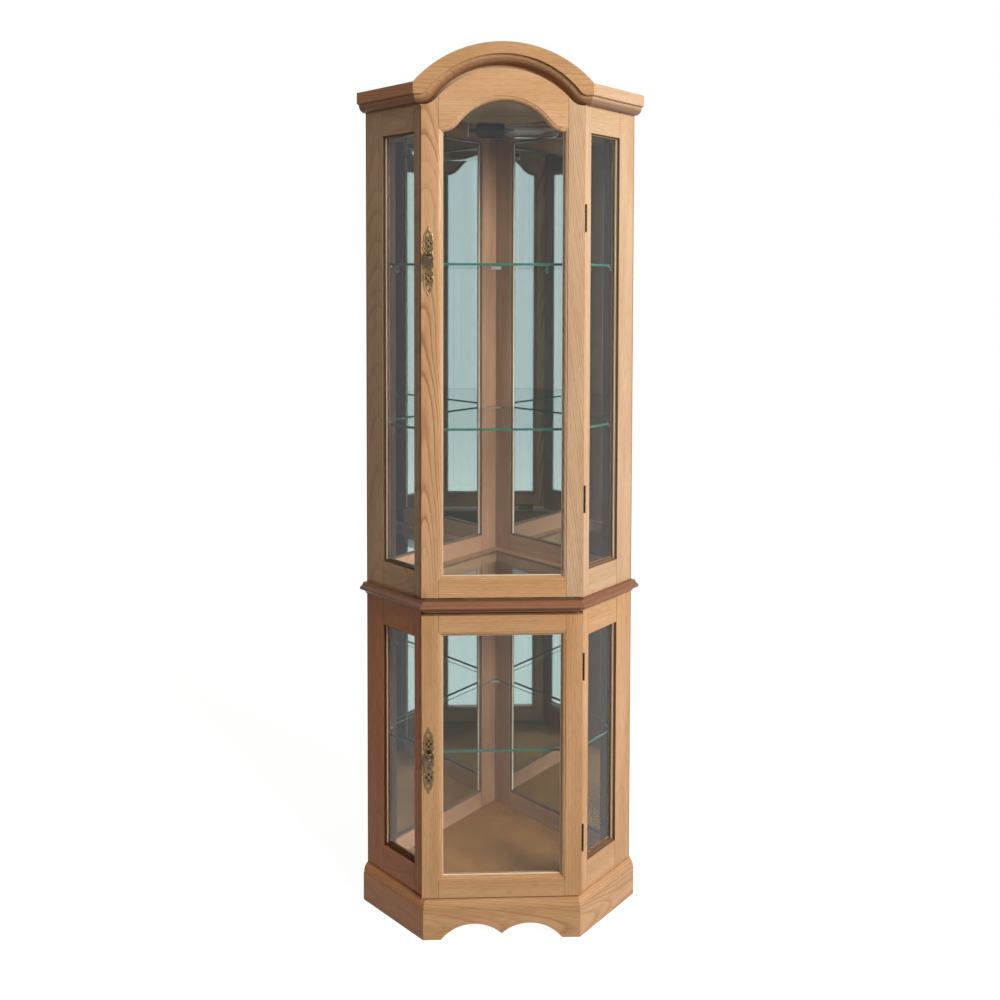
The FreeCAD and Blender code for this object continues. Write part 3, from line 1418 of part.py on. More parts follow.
def check_and_export():
    """Stops on any failed object, then writes each sub-part to parts/LABEL.step."""
    doc.recompute()
    failed = [o.Label for o in doc.Objects if {"Invalid", "Error"} & set(o.State)]
    if failed:
        raise RuntimeError(f"failed objects: {failed}")
    os.makedirs("parts", exist_ok=True)
    for piece in nodes:
        shape = piece.Shape
        if shape.isNull() or not shape.isValid() or not shape.Solids:
            raise RuntimeError(f"{piece.Label} has no valid solid")
        shape.exportStep(f"parts/{piece.Label}.step")
    print(f"{len(nodes)} sub-parts, {sum(len(p.Shape.Solids) for p in nodes)} solids")


build_plinth()
build_side("lower", "0", "Sizes.lower_height", "Sizes.lower_side_bottom_flat", "Sizes.lower_side_top_flat")
build_side("upper", WAIST_TOP, TOP_OF_TOP, "Sizes.upper_side_bottom_flat", "Sizes.upper_side_top_flat")
lower_backing = build_back("lower", "Sizes.floor_top", "Sizes.lower_height")
upper_backing = build_back("upper", WAIST_TOP, CEILING)
build_back_panels([lower_backing, upper_backing])
build_deck()
build_top()
build_lower_door()
build_upper_door()
build_hinges()
build_handle("upper", UPPER_DOOR_BOTTOM)
build_handle("lower", LOWER_DOOR_BOTTOM)
build_catches()
build_shelves()
build_lamp()
check_and_export()
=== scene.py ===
"""Looks for a five-sided corner curio cabinet: lacquered oak, clear and mirror glass, cast brass handles and a lamp."""

import logging
import math
from collections.abc import Iterable, Sequence
from dataclasses import dataclass, field, replace
from enum import Enum

import bmesh
import bpy
from mathutils import Matrix, Vector


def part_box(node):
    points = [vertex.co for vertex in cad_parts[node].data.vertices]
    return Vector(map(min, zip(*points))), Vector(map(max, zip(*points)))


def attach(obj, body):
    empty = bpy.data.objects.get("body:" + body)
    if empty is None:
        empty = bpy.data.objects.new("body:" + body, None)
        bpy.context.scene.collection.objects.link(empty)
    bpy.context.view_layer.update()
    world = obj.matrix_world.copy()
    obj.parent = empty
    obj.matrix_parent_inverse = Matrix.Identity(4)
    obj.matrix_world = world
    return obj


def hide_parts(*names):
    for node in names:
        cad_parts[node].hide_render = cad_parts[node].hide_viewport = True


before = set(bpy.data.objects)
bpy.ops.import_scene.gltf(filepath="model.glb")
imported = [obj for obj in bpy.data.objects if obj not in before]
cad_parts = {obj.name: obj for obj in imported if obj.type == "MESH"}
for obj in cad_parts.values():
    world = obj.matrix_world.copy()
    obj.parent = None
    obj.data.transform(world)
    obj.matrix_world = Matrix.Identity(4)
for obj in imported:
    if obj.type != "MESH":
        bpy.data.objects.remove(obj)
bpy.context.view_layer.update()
MM = 0.001
FRONT_FACE = -201.45 * MM  # the doors' front face, on y

SHARP = math.radians(40)  # edges bent by more than this stay crisp

# Joinery, in millimetres, from a pane's edge out to the middle of a stile or rail.
STILE_MIDDLE, RAIL_MIDDLE = 24.0, 30.0
# From a frame's face back to the middle of its pane, and where its strip starts and ends from there.
PANE_DEPTH = {"side": 11.5, "back": 9.0}
STRIP_SPAN = {"side": (-5.4, -2.02), "back": (-4.4, -2.02)}
# How far apart in the log members and boards are cut.
MEMBER_STEP, SEED_STEP = 37.0, 11.3

log = logging.getLogger("cabinet")

Colour = tuple[float, float, float, float]
Tree, Node, Socket = bpy.types.NodeTree, bpy.types.Node, bpy.types.NodeSocket
Input = Socket | Node | Sequence[float] | float


def linear(hex_code: str) -> Colour:
    """Turns an sRGB hex colour to the linear values that shaders take.

    Args:
        hex_code: Six hex digits after a hash sign.

    Returns:
        Linear red, green, blue, and an alpha of 1.
    """
    parts = [int(hex_code[i : i + 2], 16) / 255 for i in (1, 3, 5)]
    red, green, blue = (p / 12.92 if p <= 0.04045 else ((p + 0.055) / 1.055) ** 2.4 for p in parts)
    return red, green, blue, 1.0


def grey(level: float) -> Colour:
    """A linear grey, for ramps that shape a mask."""
    return level, level, level, 1.0


def add_node(
    tree: Tree,
    kind: str,
    inputs: dict[str | int, Input] | None = None,
    stops: Iterable[tuple[float, Colour]] = (),
    **settings: object,
) -> Node:
    """Adds a shader node with its settings, and fills its inputs.

    Args:
        tree: The tree that the node joins.
        kind: The node's type without its "ShaderNode" prefix.
        inputs: Values or links by input name or number. A node stands for its first output in use.
        stops: Places and colours along a colour ramp, in rising order.
        settings: The node's own properties.

    Returns:
        The new node.
    """
    node = tree.nodes.new("ShaderNode" + kind)
    for name, value in settings.items():
        setattr(node, name, value)
    for number, (position, colour) in enumerate(stops):
        ramp = node.color_ramp.elements
        stop = ramp[number] if number < 2 else ramp.new(position)
        stop.position, stop.color = position, colour
    for key, value in (inputs or {}).items():
        named = (s for s in node.inputs if s.name == key and s.enabled)
        socket = node.inputs[key] if isinstance(key, int) else next(named)
        if isinstance(value, Node):
            value = next(s for s in value.outputs if s.enabled)
        if isinstance(value, Socket):
            tree.links.new(value, socket)
        else:
            socket.default_value = value
    return node


def emptied(owner: bpy.types.Material | bpy.types.World) -> Tree:
    """Returns the tree of a new material or world, without the nodes that it starts with."""
    owner.use_nodes = True
    owner.node_tree.nodes.clear()
    return owner.node_tree


# ---------------------------------------------------------------- finishes


@dataclass(frozen=True)
class Finish:
    """A surface made of one real material. Equal finishes share one Blender material."""

    def shade(self, tree: Tree) -> Node:
        """Builds the surface in a tree and returns its shader."""
        raise NotImplementedError

    def fill(self, tree: Tree) -> Node | None:
        """Builds what fills the solid, and returns its shader, or None where nothing does."""
        return None

    def material(self) -> bpy.types.Material:
        """Returns the finish's material, built the first time it is asked for."""
        if self not in BUILT:
            made = bpy.data.materials.new(type(self).__name__.lower())
            tree = emptied(made)
            output = {"Surface": self.shade(tree)}
            volume = self.fill(tree)
            if volume is not None:
                output["Volume"] = volume
            add_node(tree, "OutputMaterial", output)
            BUILT[self] = made
        return BUILT[self]

    def dress(self, piece: bpy.types.Object) -> None:
        """Gives the whole of a piece this finish."""
        piece.data.materials.clear()
        piece.data.materials.append(self.material())


BUILT: dict[Finish, bpy.types.Material] = {}


class Lie(Enum):
    """How the grain lies in a piece of joinery."""

    UPRIGHT = "up the wall"
    LEVEL = "along the wall"
    FRAME = "up in the stiles, along in the rails between them"


@dataclass(frozen=True)
class Board:
    """Where a board was sawn from the log, and how it is set in its wall. Lengths in millimetres."""

    lie: Lie = Lie.UPRIGHT
    wall: float = 0.0  # turn of the wall from the front, degrees
    middle: float = 0.0  # of the board, or of a frame's rails, along the wall
    level: float = 0.0  # height of the board's or frame's middle
    core: float = 0.0  # place of the board's middle through the wall
    rail: float = 0.0  # length of a frame's rails
    pane: float = 0.0  # height of a frame's pane, between its rails
    front: float = 0.0  # from a frame's face back to the middle of its pane
    heart: float = 160.0  # sideways from the board to the heart of the tree; near 0 gives arches
    rise: float = 70.0  # from the board's face down to the heart
    slope: float = 0.02  # how fast the heart falls away along the board
    lean: float = 0.0  # how far the grain leans to one side
    sway: float = 5.0  # slow bends of the grain, sideways
    roll: float = 6.0  # and towards the heart
    figure: float = 0.45  # contrast of the rings
    shaded_member: int = -1  # number of the member darkened with painted shade, where there is one
    seed: float = 0.0

    def fitted(self, node: str, **changes: object) -> "Board":
        """Sets the board into its wall, with its middle at the middle of a node.

        Args:
            node: The node whose box gives the middle.
            changes: Fields that differ from this board's.

        Returns:
            The board in its place.
        """
        board = replace(self, **changes)
        low, high = (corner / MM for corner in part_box(node))
        middle = (low + high) / 2
        across, core = Matrix.Rotation(-math.radians(board.wall), 2) @ middle.xy
        return replace(board, middle=across, level=middle.z, core=core)


class Tone(Enum):
    """Stains on oak: the pale late wood, the middle tone, the stained early wood and the pores."""

    HONEY = ("#D6AC80", "#C49768", "#8D5C34", "#6B4427")
    WHEAT = ("#DFB68E", "#CB9F73", "#946642", "#714B30")
    STRAW = ("#DBBD9F", "#CAA986", "#987053", "#76533C")
    AMBER = ("#E09C66", "#CB874F", "#90562F", "#6A4025")
    COPPER = ("#D4844A", "#C07038", "#814A26", "#5D371D")
    RUSSET = ("#A07355", "#8A5E47", "#60392A", "#472A1F")
    UMBER = ("#B59077", "#9E7A5D", "#765438", "#563B27")


CORNER_SHADE, STEP_SHADE, UNDERSIDE_STAIN_AND_SHADE = "#3B302A", "#44302A", "#6E4530"  # painted shade of a stile in a dark corner and of the steps in front of panes, and a redder stain with painted shade for undersides


@dataclass(frozen=True)
class Oak(Finish):
    """Oak, sawn and sanded, stained, and sprayed with a satin lacquer.

    The stain settles in the open pores that start each year's growth and draws the rings as darker lines, as arches
    where the board lies flat in the log and as straight lines elsewhere. The lacquer adds a soft highlight.
    """

    tone: Tone = Tone.HONEY
    board: Board = Board()
    under: float = 0.0  # how much the faces that look down are darkened, partly with a redder stain and partly with painted shade
    ring: float = 4.5  # mm; oak grows 2 to 3 a year, drawn coarser, because finer rings don't show at this size

    def shade(self, tree: Tree) -> Node:
        """Builds the rings, the pores and the lacquer, and returns the shader."""
        across, depth, length, member = self.lay_out(tree)
        pale, middle, dark, pore = (linear(code) for code in self.tone.value)
        line, strength = self.rings(tree, across, depth, length, member)

        # Pores are 0.2 mm wide and 3 long in oak, drawn as streaks of 1.3 by 26, so that they show.
        fibre = add_node(tree, "CombineXYZ", {0: across, 1: depth, 2: length})
        fine = add_node(tree, "VectorMath", {0: fibre, 1: (1 / 1.3, 1 / 1.3, 1 / 26)}, operation="MULTIPLY")
        streaks = add_node(tree, "TexNoise", {"Vector": fine, "Scale": 1.0, "Detail": 2.0, "Roughness": 0.6})
        pores = add_node(tree, "ValToRGB", {"Fac": streaks}, [(0.48, grey(0)), (0.7, grey(1))])
        broad = add_node(tree, "VectorMath", {0: fibre, 1: (1 / 32, 1 / 32, 1 / 280)}, operation="MULTIPLY")
        clouds = add_node(tree, "TexNoise", {
            "Vector": broad, "W": member, "Scale": 1.0, "Detail": 3.0,
        }, noise_dimensions="4D")
        cloudy = add_node(tree, "ValToRGB", {"Fac": clouds}, [(0.32, grey(0)), (0.68, grey(1))])

        figure = add_node(tree, "Math", {0: line, 1: strength}, operation="MULTIPLY")
        shown = add_node(tree, "Math", {0: figure, 1: self.board.figure}, operation="MULTIPLY")
        ground = add_node(tree, "Mix", {"Factor": cloudy, "A": pale, "B": middle}, data_type="RGBA")
        ringed = add_node(tree, "Mix", {"Factor": shown, "A": ground, "B": dark}, data_type="RGBA")
        deep = add_node(tree, "Math", {0: pores, 1: 0.28}, operation="MULTIPLY")
        pored = add_node(tree, "Mix", {"Factor": deep, "A": ringed, "B": pore}, data_type="RGBA")

        # Painted shade: one member of the frame is darkened towards a near-black brown.
        if self.board.shaded_member >= 0:
            shaded_member = add_node(tree, "Math", {0: member, 1: float(self.board.shaded_member), 2: 0.5}, operation="COMPARE")
            pored = add_node(tree, "Mix", {"Factor": shaded_member, "A": pored, "B": linear(CORNER_SHADE)}, data_type="RGBA")
        if self.board.lie is Lie.FRAME:
            # Painted shade darkens the step in front of a pane, what lies below the frame's face.
            sunk = add_node(tree, "Math", {0: depth, 1: self.board.core - self.board.front}, operation="SUBTRACT")
            step_shade = add_node(tree, "MapRange", {"Value": sunk, "From Min": 0.3, "From Max": 2.5, "To Max": 0.7})
            pored = add_node(tree, "Mix", {"Factor": step_shade, "A": pored, "B": linear(STEP_SHADE)}, data_type="RGBA")
        if self.under:
            # Faces that look down take a redder stain and painted shade.
            down = add_node(tree, "SeparateXYZ", {0: add_node(tree, "TexCoord").outputs["Normal"]}).outputs["Z"]
            below = {"Value": down, "From Min": 0.05, "From Max": -0.45, "To Max": self.under}
            shade = add_node(tree, "MapRange", below)
            pored = add_node(tree, "Mix", {"Factor": shade, "A": pored, "B": linear(UNDERSIDE_STAIN_AND_SHADE)}, data_type="RGBA")

        # The sprayer's sanding leaves the arrises rounded and a little paler.
        rounded = add_node(tree, "Bevel", {"Radius": 0.9 * MM}, samples=4)
        facing = add_node(tree, "NewGeometry").outputs["Normal"]
        square = add_node(tree, "VectorMath", {0: rounded, 1: facing}, operation="DOT_PRODUCT")
        edge = add_node(tree, "MapRange", {
            "Value": square.outputs["Value"], "From Min": 1.0, "From Max": 0.7, "To Max": 0.35,
        })
        worn = add_node(tree, "Mix", {"Factor": edge, "A": pored, "B": pale}, data_type="RGBA")
        relief = add_node(tree, "Bump", {
            "Height": pores, "Strength": 0.25, "Distance": 0.2 * MM, "Normal": rounded,
        }, invert=True)
        sheen = add_node(tree, "MapRange", {"Value": streaks, "To Min": 0.34, "To Max": 0.46})
        return add_node(tree, "BsdfPrincipled", {
            "Base Color": worn, "Roughness": sheen, "IOR": 1.5, "Specular IOR Level": 0.1, "Coat Weight": 0.3,
            "Coat Roughness": 0.1, "Normal": relief,
        })

    def lay_out(self, tree: Tree) -> tuple[Node, Socket, Node | Socket, Node]:
        """Finds each point's place in its own board, in millimetres.

        Args:
            tree: The material's tree.

        Returns:
            The place across the board, its depth, the place along its length, and a number for the member.
        """
        board = self.board
        place = add_node(tree, "TexCoord").outputs["Object"]
        turned = {"Vector": place, "Rotation": (0, 0, -math.radians(board.wall)), "Scale": (1000, 1000, 1000)}
        axes = add_node(tree, "SeparateXYZ", {0: add_node(tree, "Mapping", turned)}).outputs
        along, depth, up = axes
        if board.lie is not Lie.FRAME:
            across, middle, length = (along, board.middle, up) if board.lie is Lie.UPRIGHT else (up, board.level, along)
            offset = add_node(tree, "Math", {0: across, 1: middle}, operation="SUBTRACT")
            return offset, depth, length, add_node(tree, "Value")
        upward = add_node(tree, "Math", {0: up, 1: board.level}, operation="SUBTRACT")
        from_level = add_node(tree, "Math", {0: upward}, operation="ABSOLUTE")
        beyond = add_node(tree, "Math", {0: from_level, 1: board.pane / 2}, operation="GREATER_THAN")
        between = add_node(tree, "Math", {0: along, 1: board.middle, 2: board.rail / 2}, operation="COMPARE")
        rail = add_node(tree, "Math", {0: between, 1: beyond}, operation="MULTIPLY")
        far = add_node(tree, "Math", {0: along, 1: board.middle}, operation="GREATER_THAN")
        high = add_node(tree, "Math", {0: up, 1: board.level}, operation="GREATER_THAN")
        third = add_node(tree, "Math", {0: high, 1: 2.0}, operation="ADD")
        member = add_node(tree, "Mix", {"Factor": rail, "A": far, "B": third})
        sideways = add_node(tree, "Math", {0: along, 1: board.middle}, operation="SUBTRACT")
        from_middle = add_node(tree, "Math", {0: sideways}, operation="ABSOLUTE")
        stile = add_node(tree, "Math", {0: from_middle, 1: board.rail / 2 + STILE_MIDDLE}, operation="SUBTRACT")
        level_rail = add_node(tree, "Math", {0: from_level, 1: board.pane / 2 + RAIL_MIDDLE}, operation="SUBTRACT")
        across = add_node(tree, "Mix", {"Factor": rail, "A": stile, "B": level_rail})
        length = add_node(tree, "Mix", {"Factor": rail, "A": up, "B": along})
        return across, depth, length, member

    def rings(
        self, tree: Tree, across: Node, depth: Socket, length: Node | Socket, member: Node
    ) -> tuple[Node, Node]:
        """Cuts the board's face through the log's rings.

        Args:
            tree: The material's tree.
            across: Place across the board.
            depth: Place through the wall.
            length: Place along the board.
            member: A number for the member, which moves its cut to another part of the log.

        Returns:
            How dark each point's part of its ring is, and how strongly that ring shows.
        """
        board = self.board
        shift = add_node(tree, "Math", {0: member, 1: MEMBER_STEP, 2: board.seed * SEED_STEP}, operation="MULTIPLY_ADD")
        slow = add_node(tree, "Math", {0: length, 1: 1 / 260}, operation="MULTIPLY")
        route = add_node(tree, "CombineXYZ", {0: slow, 1: shift})
        bends = add_node(tree, "TexNoise", {"Vector": route, "Scale": 1.0, "Detail": 1.5}).outputs["Color"]
        leant = add_node(tree, "Math", {0: length, 1: board.lean, 2: across}, operation="MULTIPLY_ADD")
        start = board.level if board.lie is Lie.UPRIGHT else board.middle
        inward = add_node(tree, "Math", {0: depth, 1: board.core + board.slope * start}, operation="SUBTRACT")
        fall = add_node(tree, "Math", {0: length, 1: board.slope, 2: inward}, operation="MULTIPLY_ADD")
        cut = add_node(tree, "CombineXYZ", {0: leant, 1: fall})
        swing = (4 * board.sway, 4 * board.roll, 0)
        bent = add_node(tree, "VectorMath", {0: bends, 1: swing, 2: cut}, operation="MULTIPLY_ADD")
        heart = (board.heart - 2 * board.sway - board.lean * start, board.rise - 2 * board.roll, 0)
        reach = add_node(tree, "VectorMath", {0: bent, 1: heart}, operation="ADD")
        radius = add_node(tree, "VectorMath", {0: reach}, operation="LENGTH").outputs["Value"]

        uneven = add_node(tree, "TexNoise", {"W": radius, "Scale": 1 / 18, "Detail": 1.0}, noise_dimensions="1D")
        seasons = add_node(tree, "Math", {0: radius, 1: 1 / self.ring}, operation="MULTIPLY")
        years = add_node(tree, "Math", {0: uneven, 1: 1.6, 2: seasons}, operation="MULTIPLY_ADD")
        ring = add_node(tree, "Math", {0: years, 1: shift}, operation="FLOOR")
        season = add_node(tree, "Math", {0: years}, operation="FRACT")
        own = add_node(tree, "Math", {0: ring, 1: shift}, operation="ADD")
        luck = add_node(tree, "TexWhiteNoise", {"W": own}, noise_dimensions="1D").outputs["Value"]
        strength = add_node(tree, "MapRange", {"Value": luck, "To Min": 0.15, "To Max": 1.0})
        # A ring starts dark, with its open pores, and fades to pale late wood.
        shades = ((0.0, 0.8), (0.08, 1), (0.3, 0.25), (0.6, 0.05), (0.93, 0), (1.0, 0.8))
        line = add_node(tree, "ValToRGB", {"Fac": season}, [(at, grey(level)) for at, level in shades])
        return line, strength


@dataclass(frozen=True)
class Plywood(Finish):
    """Birch-faced plywood, rotary cut and stained brown: soft blotches over a fine speckle, with little gloss."""

    pale: str = "#B08354"
    deep: str = "#93673B"
    blotch: float = 30.0  # mm
    speckle: float = 3.5  # mm; the real fibre ends are 0.5, drawn coarser to show
    fleck: str = "#63431F"

    def shade(self, tree: Tree) -> Node:
        """Builds the blotches and the speckle, and returns the shader."""
        place = add_node(tree, "TexCoord").outputs["Object"]
        stretched = add_node(tree, "Mapping", {"Vector": place, "Scale": (0.8, 1, 1)})
        large = {"Vector": stretched, "Scale": 1 / (self.blotch * MM), "Detail": 5.0}
        cloud = add_node(tree, "TexNoise", large)
        blotches = add_node(tree, "ValToRGB", {"Fac": cloud}, [(0.25, grey(0)), (0.75, grey(1))])
        small = add_node(tree, "TexNoise", {"Vector": place, "Scale": 1 / (self.speckle * MM), "Detail": 3.0})
        dots = add_node(tree, "ValToRGB", {"Fac": small}, [(0.4, grey(0)), (0.62, grey(0.75))])
        ground = add_node(tree, "Mix", {
            "Factor": blotches, "A": linear(self.pale), "B": linear(self.deep),
        }, data_type="RGBA")
        stained = add_node(tree, "Mix", {"Factor": dots, "A": ground, "B": linear(self.fleck)}, data_type="RGBA")
        relief = add_node(tree, "Bump", {"Height": small, "Strength": 0.2, "Distance": 0.2 * MM})
        return add_node(tree, "BsdfPrincipled", {
            "Base Color": stained, "Roughness": 0.6, "IOR": 1.48, "Specular IOR Level": 0.08, "Normal": relief,
        })


@dataclass(frozen=True)
class Glass(Finish):
    """Float glass, cut and ground at its edges.

    It is flat and clear, with faint roller waves. Light that runs along a sheet comes out of its ground edges, green
    with the glass's iron, so they glow a little, and what holds a pane shows in its edge.
    """

    edge: str = "#D8C8A2"
    thin: tuple[float, float, float] = (0.0, 0.0, 1.0)  # direction through the sheet; none for blown glass
    tint: str = "#F9FCFB"
    depth: float = 4.0  # absorption per metre
    ior: float = 1.32

    def shade(self, tree: Tree) -> Node:
        """Builds the sheet, which lets the lamps' light through to what is behind it, and returns the shader."""
        place = add_node(tree, "TexCoord").outputs
        # Rollers leave faint waves about 60 mm apart.
        waves = add_node(tree, "TexNoise", {"Vector": place["Object"], "Scale": 1 / (60 * MM), "Detail": 1.0})
        relief = add_node(tree, "Bump", {"Height": waves, "Strength": 0.05, "Distance": 0.05 * MM})
        # Glass has an index of 1.52. The studio is white all round, and a lower one holds its reflection back.
        clear = add_node(tree, "BsdfPrincipled", {
            "Base Color": linear(self.tint), "Roughness": 0.0, "IOR": self.ior, "Transmission Weight": 1.0,
            "Normal": relief,
        })
        ground = add_node(tree, "BsdfPrincipled", {
            "Base Color": linear(self.edge), "Roughness": 0.4, "IOR": 1.52, "Specular IOR Level": 0.15,
        })
        through = add_node(tree, "VectorMath", {0: place["Normal"], 1: self.thin}, operation="DOT_PRODUCT")
        facing = add_node(tree, "Math", {0: through.outputs["Value"]}, operation="ABSOLUTE")
        on_edge = add_node(tree, "Math", {0: facing, 1: 0.5 if any(self.thin) else -1.0}, operation="LESS_THAN")
        sheet = add_node(tree, "MixShader", {0: on_edge, 1: clear, 2: ground})
        passing = add_node(tree, "BsdfTransparent", {"Color": linear("#F6F6F6")})
        shadow = add_node(tree, "LightPath").outputs["Is Shadow Ray"]
        return add_node(tree, "MixShader", {0: shadow, 1: sheet, 2: passing})

    def fill(self, tree: Tree) -> Node:
        """Returns the iron's green, which grows with the light's way through the glass."""
        return add_node(tree, "VolumeAbsorption", {"Color": linear("#7FD2C0"), "Density": self.depth})


@dataclass(frozen=True)
class Mirror(Finish):
    """Silvered float glass: a sharp, slightly green reflection, with faint upright bands where it was wiped."""

    tint: str = "#D0DBDB"

    def shade(self, tree: Tree) -> Node:
        """Builds the silvering and its wiped bands, and returns the shader."""
        place = add_node(tree, "TexCoord").outputs["Object"]
        # Wiping marks run up the glass, about 18 mm wide and a metre long.
        drawn = add_node(tree, "Mapping", {"Vector": place, "Scale": (55, 55, 1)})
        bands = add_node(tree, "TexNoise", {"Vector": drawn, "Scale": 1.0, "Detail": 3.0})
        wiped = add_node(tree, "ValToRGB", {"Fac": bands}, [(0.35, grey(0)), (0.7, grey(0.5))])
        tinted = add_node(tree, "Mix", {
            "Factor": wiped, "A": linear(self.tint), "B": linear("#DEE8E8"),
        }, data_type="RGBA")
        haze = add_node(tree, "MapRange", {"Value": bands, "To Min": 0.015, "To Max": 0.045})
        return add_node(tree, "BsdfPrincipled", {"Base Color": tinted, "Metallic": 1.0, "Roughness": haze})


@dataclass(frozen=True)
class CastBrass(Finish):
    """Brass, sand cast and antiqued: dark patina left in the hollows, and gold where it was rubbed back."""

    gold: str = "#947D58"
    patina: str = "#2C2017"
    hollow: float = 0.8  # mm in front of the door where the patina ends
    crest: float = 2.5  # and where the rubbed gold starts
    lacquer: float = 0.2

    def shade(self, tree: Tree) -> Node:
        """Builds the patina by depth and by chance, and returns the shader."""
        place = add_node(tree, "TexCoord").outputs["Object"]
        front = add_node(tree, "SeparateXYZ", {0: place}).outputs["Y"]
        lifted = add_node(tree, "MapRange", {
            "Value": front, "From Min": FRONT_FACE - self.hollow * MM, "From Max": FRONT_FACE - self.crest * MM,
        })
        # Sand grains leave a texture of about 0.7 mm, and the patina lies in patches of 5.
        sand = add_node(tree, "TexNoise", {"Vector": place, "Scale": 1 / (0.7 * MM), "Detail": 2.0})
        patches = add_node(tree, "TexNoise", {"Vector": place, "Scale": 1 / (5 * MM), "Detail": 2.0})
        chance = add_node(tree, "MapRange", {"Value": patches, "To Min": -0.22, "To Max": 0.22})
        rubbed = add_node(tree, "Math", {0: lifted, 1: chance}, operation="ADD", use_clamp=True)
        metal = add_node(tree, "Mix", {
            "Factor": rubbed, "A": linear(self.patina), "B": linear(self.gold),
        }, data_type="RGBA")
        dull = add_node(tree, "MapRange", {"Value": rubbed, "To Min": 0.5, "To Max": 0.27})
        relief = add_node(tree, "Bump", {"Height": sand, "Strength": 0.35, "Distance": 0.15 * MM})
        return add_node(tree, "BsdfPrincipled", {
            "Base Color": metal, "Metallic": 1.0, "Roughness": dull, "Normal": relief, "Coat Weight": self.lacquer,
            "Coat Roughness": 0.12,
        })


@dataclass(frozen=True)
class Metal(Finish):
    """Sheet or turned metal, plated or browned, with the fine unevenness of its plating."""

    base: str = "#B9BCBD"
    worn: str = "#D6D8D8"
    rough: float = 0.3
    grain: float = 1.5  # mm; plating crystals are finer, drawn coarser to show

    def shade(self, tree: Tree) -> Node:
        """Builds the plating, brighter along worn edges, and returns the shader."""
        place = add_node(tree, "TexCoord").outputs["Object"]
        crystals = add_node(tree, "TexNoise", {"Vector": place, "Scale": 1 / (self.grain * MM), "Detail": 3.0})
        rounded = add_node(tree, "Bevel", {"Radius": 0.5 * MM}, samples=4)
        facing = add_node(tree, "NewGeometry").outputs["Normal"]
        square = add_node(tree, "VectorMath", {0: rounded, 1: facing}, operation="DOT_PRODUCT")
        edge = add_node(tree, "MapRange", {"Value": square.outputs["Value"], "From Min": 1.0, "From Max": 0.75})
        patchy = add_node(tree, "MapRange", {"Value": crystals, "To Min": -0.2, "To Max": 0.35})
        shown = add_node(tree, "Math", {0: edge, 1: patchy}, operation="ADD", use_clamp=True)
        metal = add_node(tree, "Mix", {
            "Factor": shown, "A": linear(self.base), "B": linear(self.worn),
        }, data_type="RGBA")
        dull = add_node(tree, "MapRange", {"Value": crystals, "To Min": self.rough - 0.07, "To Max": self.rough + 0.1})
        relief = add_node(tree, "Bump", {"Height": crystals, "Strength": 0.12, "Distance": 0.1 * MM, "Normal": rounded})
        return add_node(tree, "BsdfPrincipled", {
            "Base Color": metal, "Metallic": 1.0, "Roughness": dull, "Normal": relief,
        })


@dataclass(frozen=True)
class Moulded(Finish):
    """Moulded plastic: an even colour with faint flow marks and a fine texture from the tool."""

    base: str
    flow: str
    rough: float = 0.4
    texture: float = 0.8  # mm between the tool's spark marks, drawn coarser to show
    clear: float = 0.0

    def shade(self, tree: Tree) -> Node:
        """Builds the flow marks and the tool's texture, and returns the shader."""
        place = add_node(tree, "TexCoord").outputs["Object"]
        flow = add_node(tree, "TexNoise", {"Vector": place, "Scale": 1 / (14 * MM), "Detail": 2.0, "Distortion": 1.0})
        sparks = add_node(tree, "TexNoise", {"Vector": place, "Scale": 1 / (self.texture * MM), "Detail": 2.0})
        mixed = add_node(tree, "Mix", {
            "Factor": flow, "A": linear(self.base), "B": linear(self.flow),
        }, data_type="RGBA")
        dull = add_node(tree, "MapRange", {"Value": sparks, "To Min": self.rough - 0.08, "To Max": self.rough + 0.08})
        relief = add_node(tree, "Bump", {"Height": sparks, "Strength": 0.2, "Distance": 0.1 * MM})
        return add_node(tree, "BsdfPrincipled", {
            "Base Color": mixed, "Roughness": dull, "IOR": 1.49, "Specular IOR Level": 0.25,
            "Transmission Weight": self.clear, "Normal": relief,
        })


SHELF_GLASS = Glass(edge="#225A52")
DOOR_GLASS = Glass(thin=(0.0, 1.0, 0.0))
MIRROR_GLASS = Mirror()
BULB_GLASS = Glass(thin=(0.0, 0.0, 0.0), tint="#FCFDFC", depth=0.5, ior=1.45)
ZINC = Metal()
TUNGSTEN = Metal(base="#6B6966", worn="#8D8B87", rough=0.4)
BROWNED_BRASS = Metal(base="#2B2219", worn="#A98B50", rough=0.34)
HANDLE_BRASS = CastBrass()
DROP_BRASS = CastBrass(gold="#685343", patina="#231915", hollow=2.0, crest=26.0, lacquer=0.7)
PHENOLIC = Moulded("#22272D", "#2E343B", rough=0.5)
VINYL = Moulded("#EADFCB", "#F3EADB", rough=0.4)
BROWN_PLASTIC = Moulded("#5B402B", "#6B4C33", rough=0.42)
CLIP_PLASTIC = Moulded("#E9EEEC", "#F6F8F7", rough=0.2, clear=0.45)
HARDBOARD = Plywood(pale="#BF9B74", deep="#AB865F", blotch=120.0, speckle=2.5, fleck="#8C6A48")


# ---------------------------------------------------------------- mesh work


def arc(start: Vector, end: Vector, radius: float, turn: int, steps: int = 8) -> list[Vector]:
    """Points along a round arc between two points, without its start.

    Args:
        start: Where the arc starts, in its plane.
        end: Where it ends.
        radius: The arc's radius.
        turn: 1 where it turns left on its way, -1 where it turns right.
        steps: How many points it gets.

    Returns:
        The points, ending with end.
    """
    chord = end - start
    side = Vector((-chord.y, chord.x)).normalized() * turn
    centre = (start + end) / 2 + side * math.sqrt(max(radius**2 - chord.length_squared / 4, 0))
    first = start - centre
    angle = turn * 2 * math.asin(min(chord.length / 2 / radius, 1))
    return [centre + Matrix.Rotation(angle * i / steps, 2) @ first for i in range(1, steps + 1)]


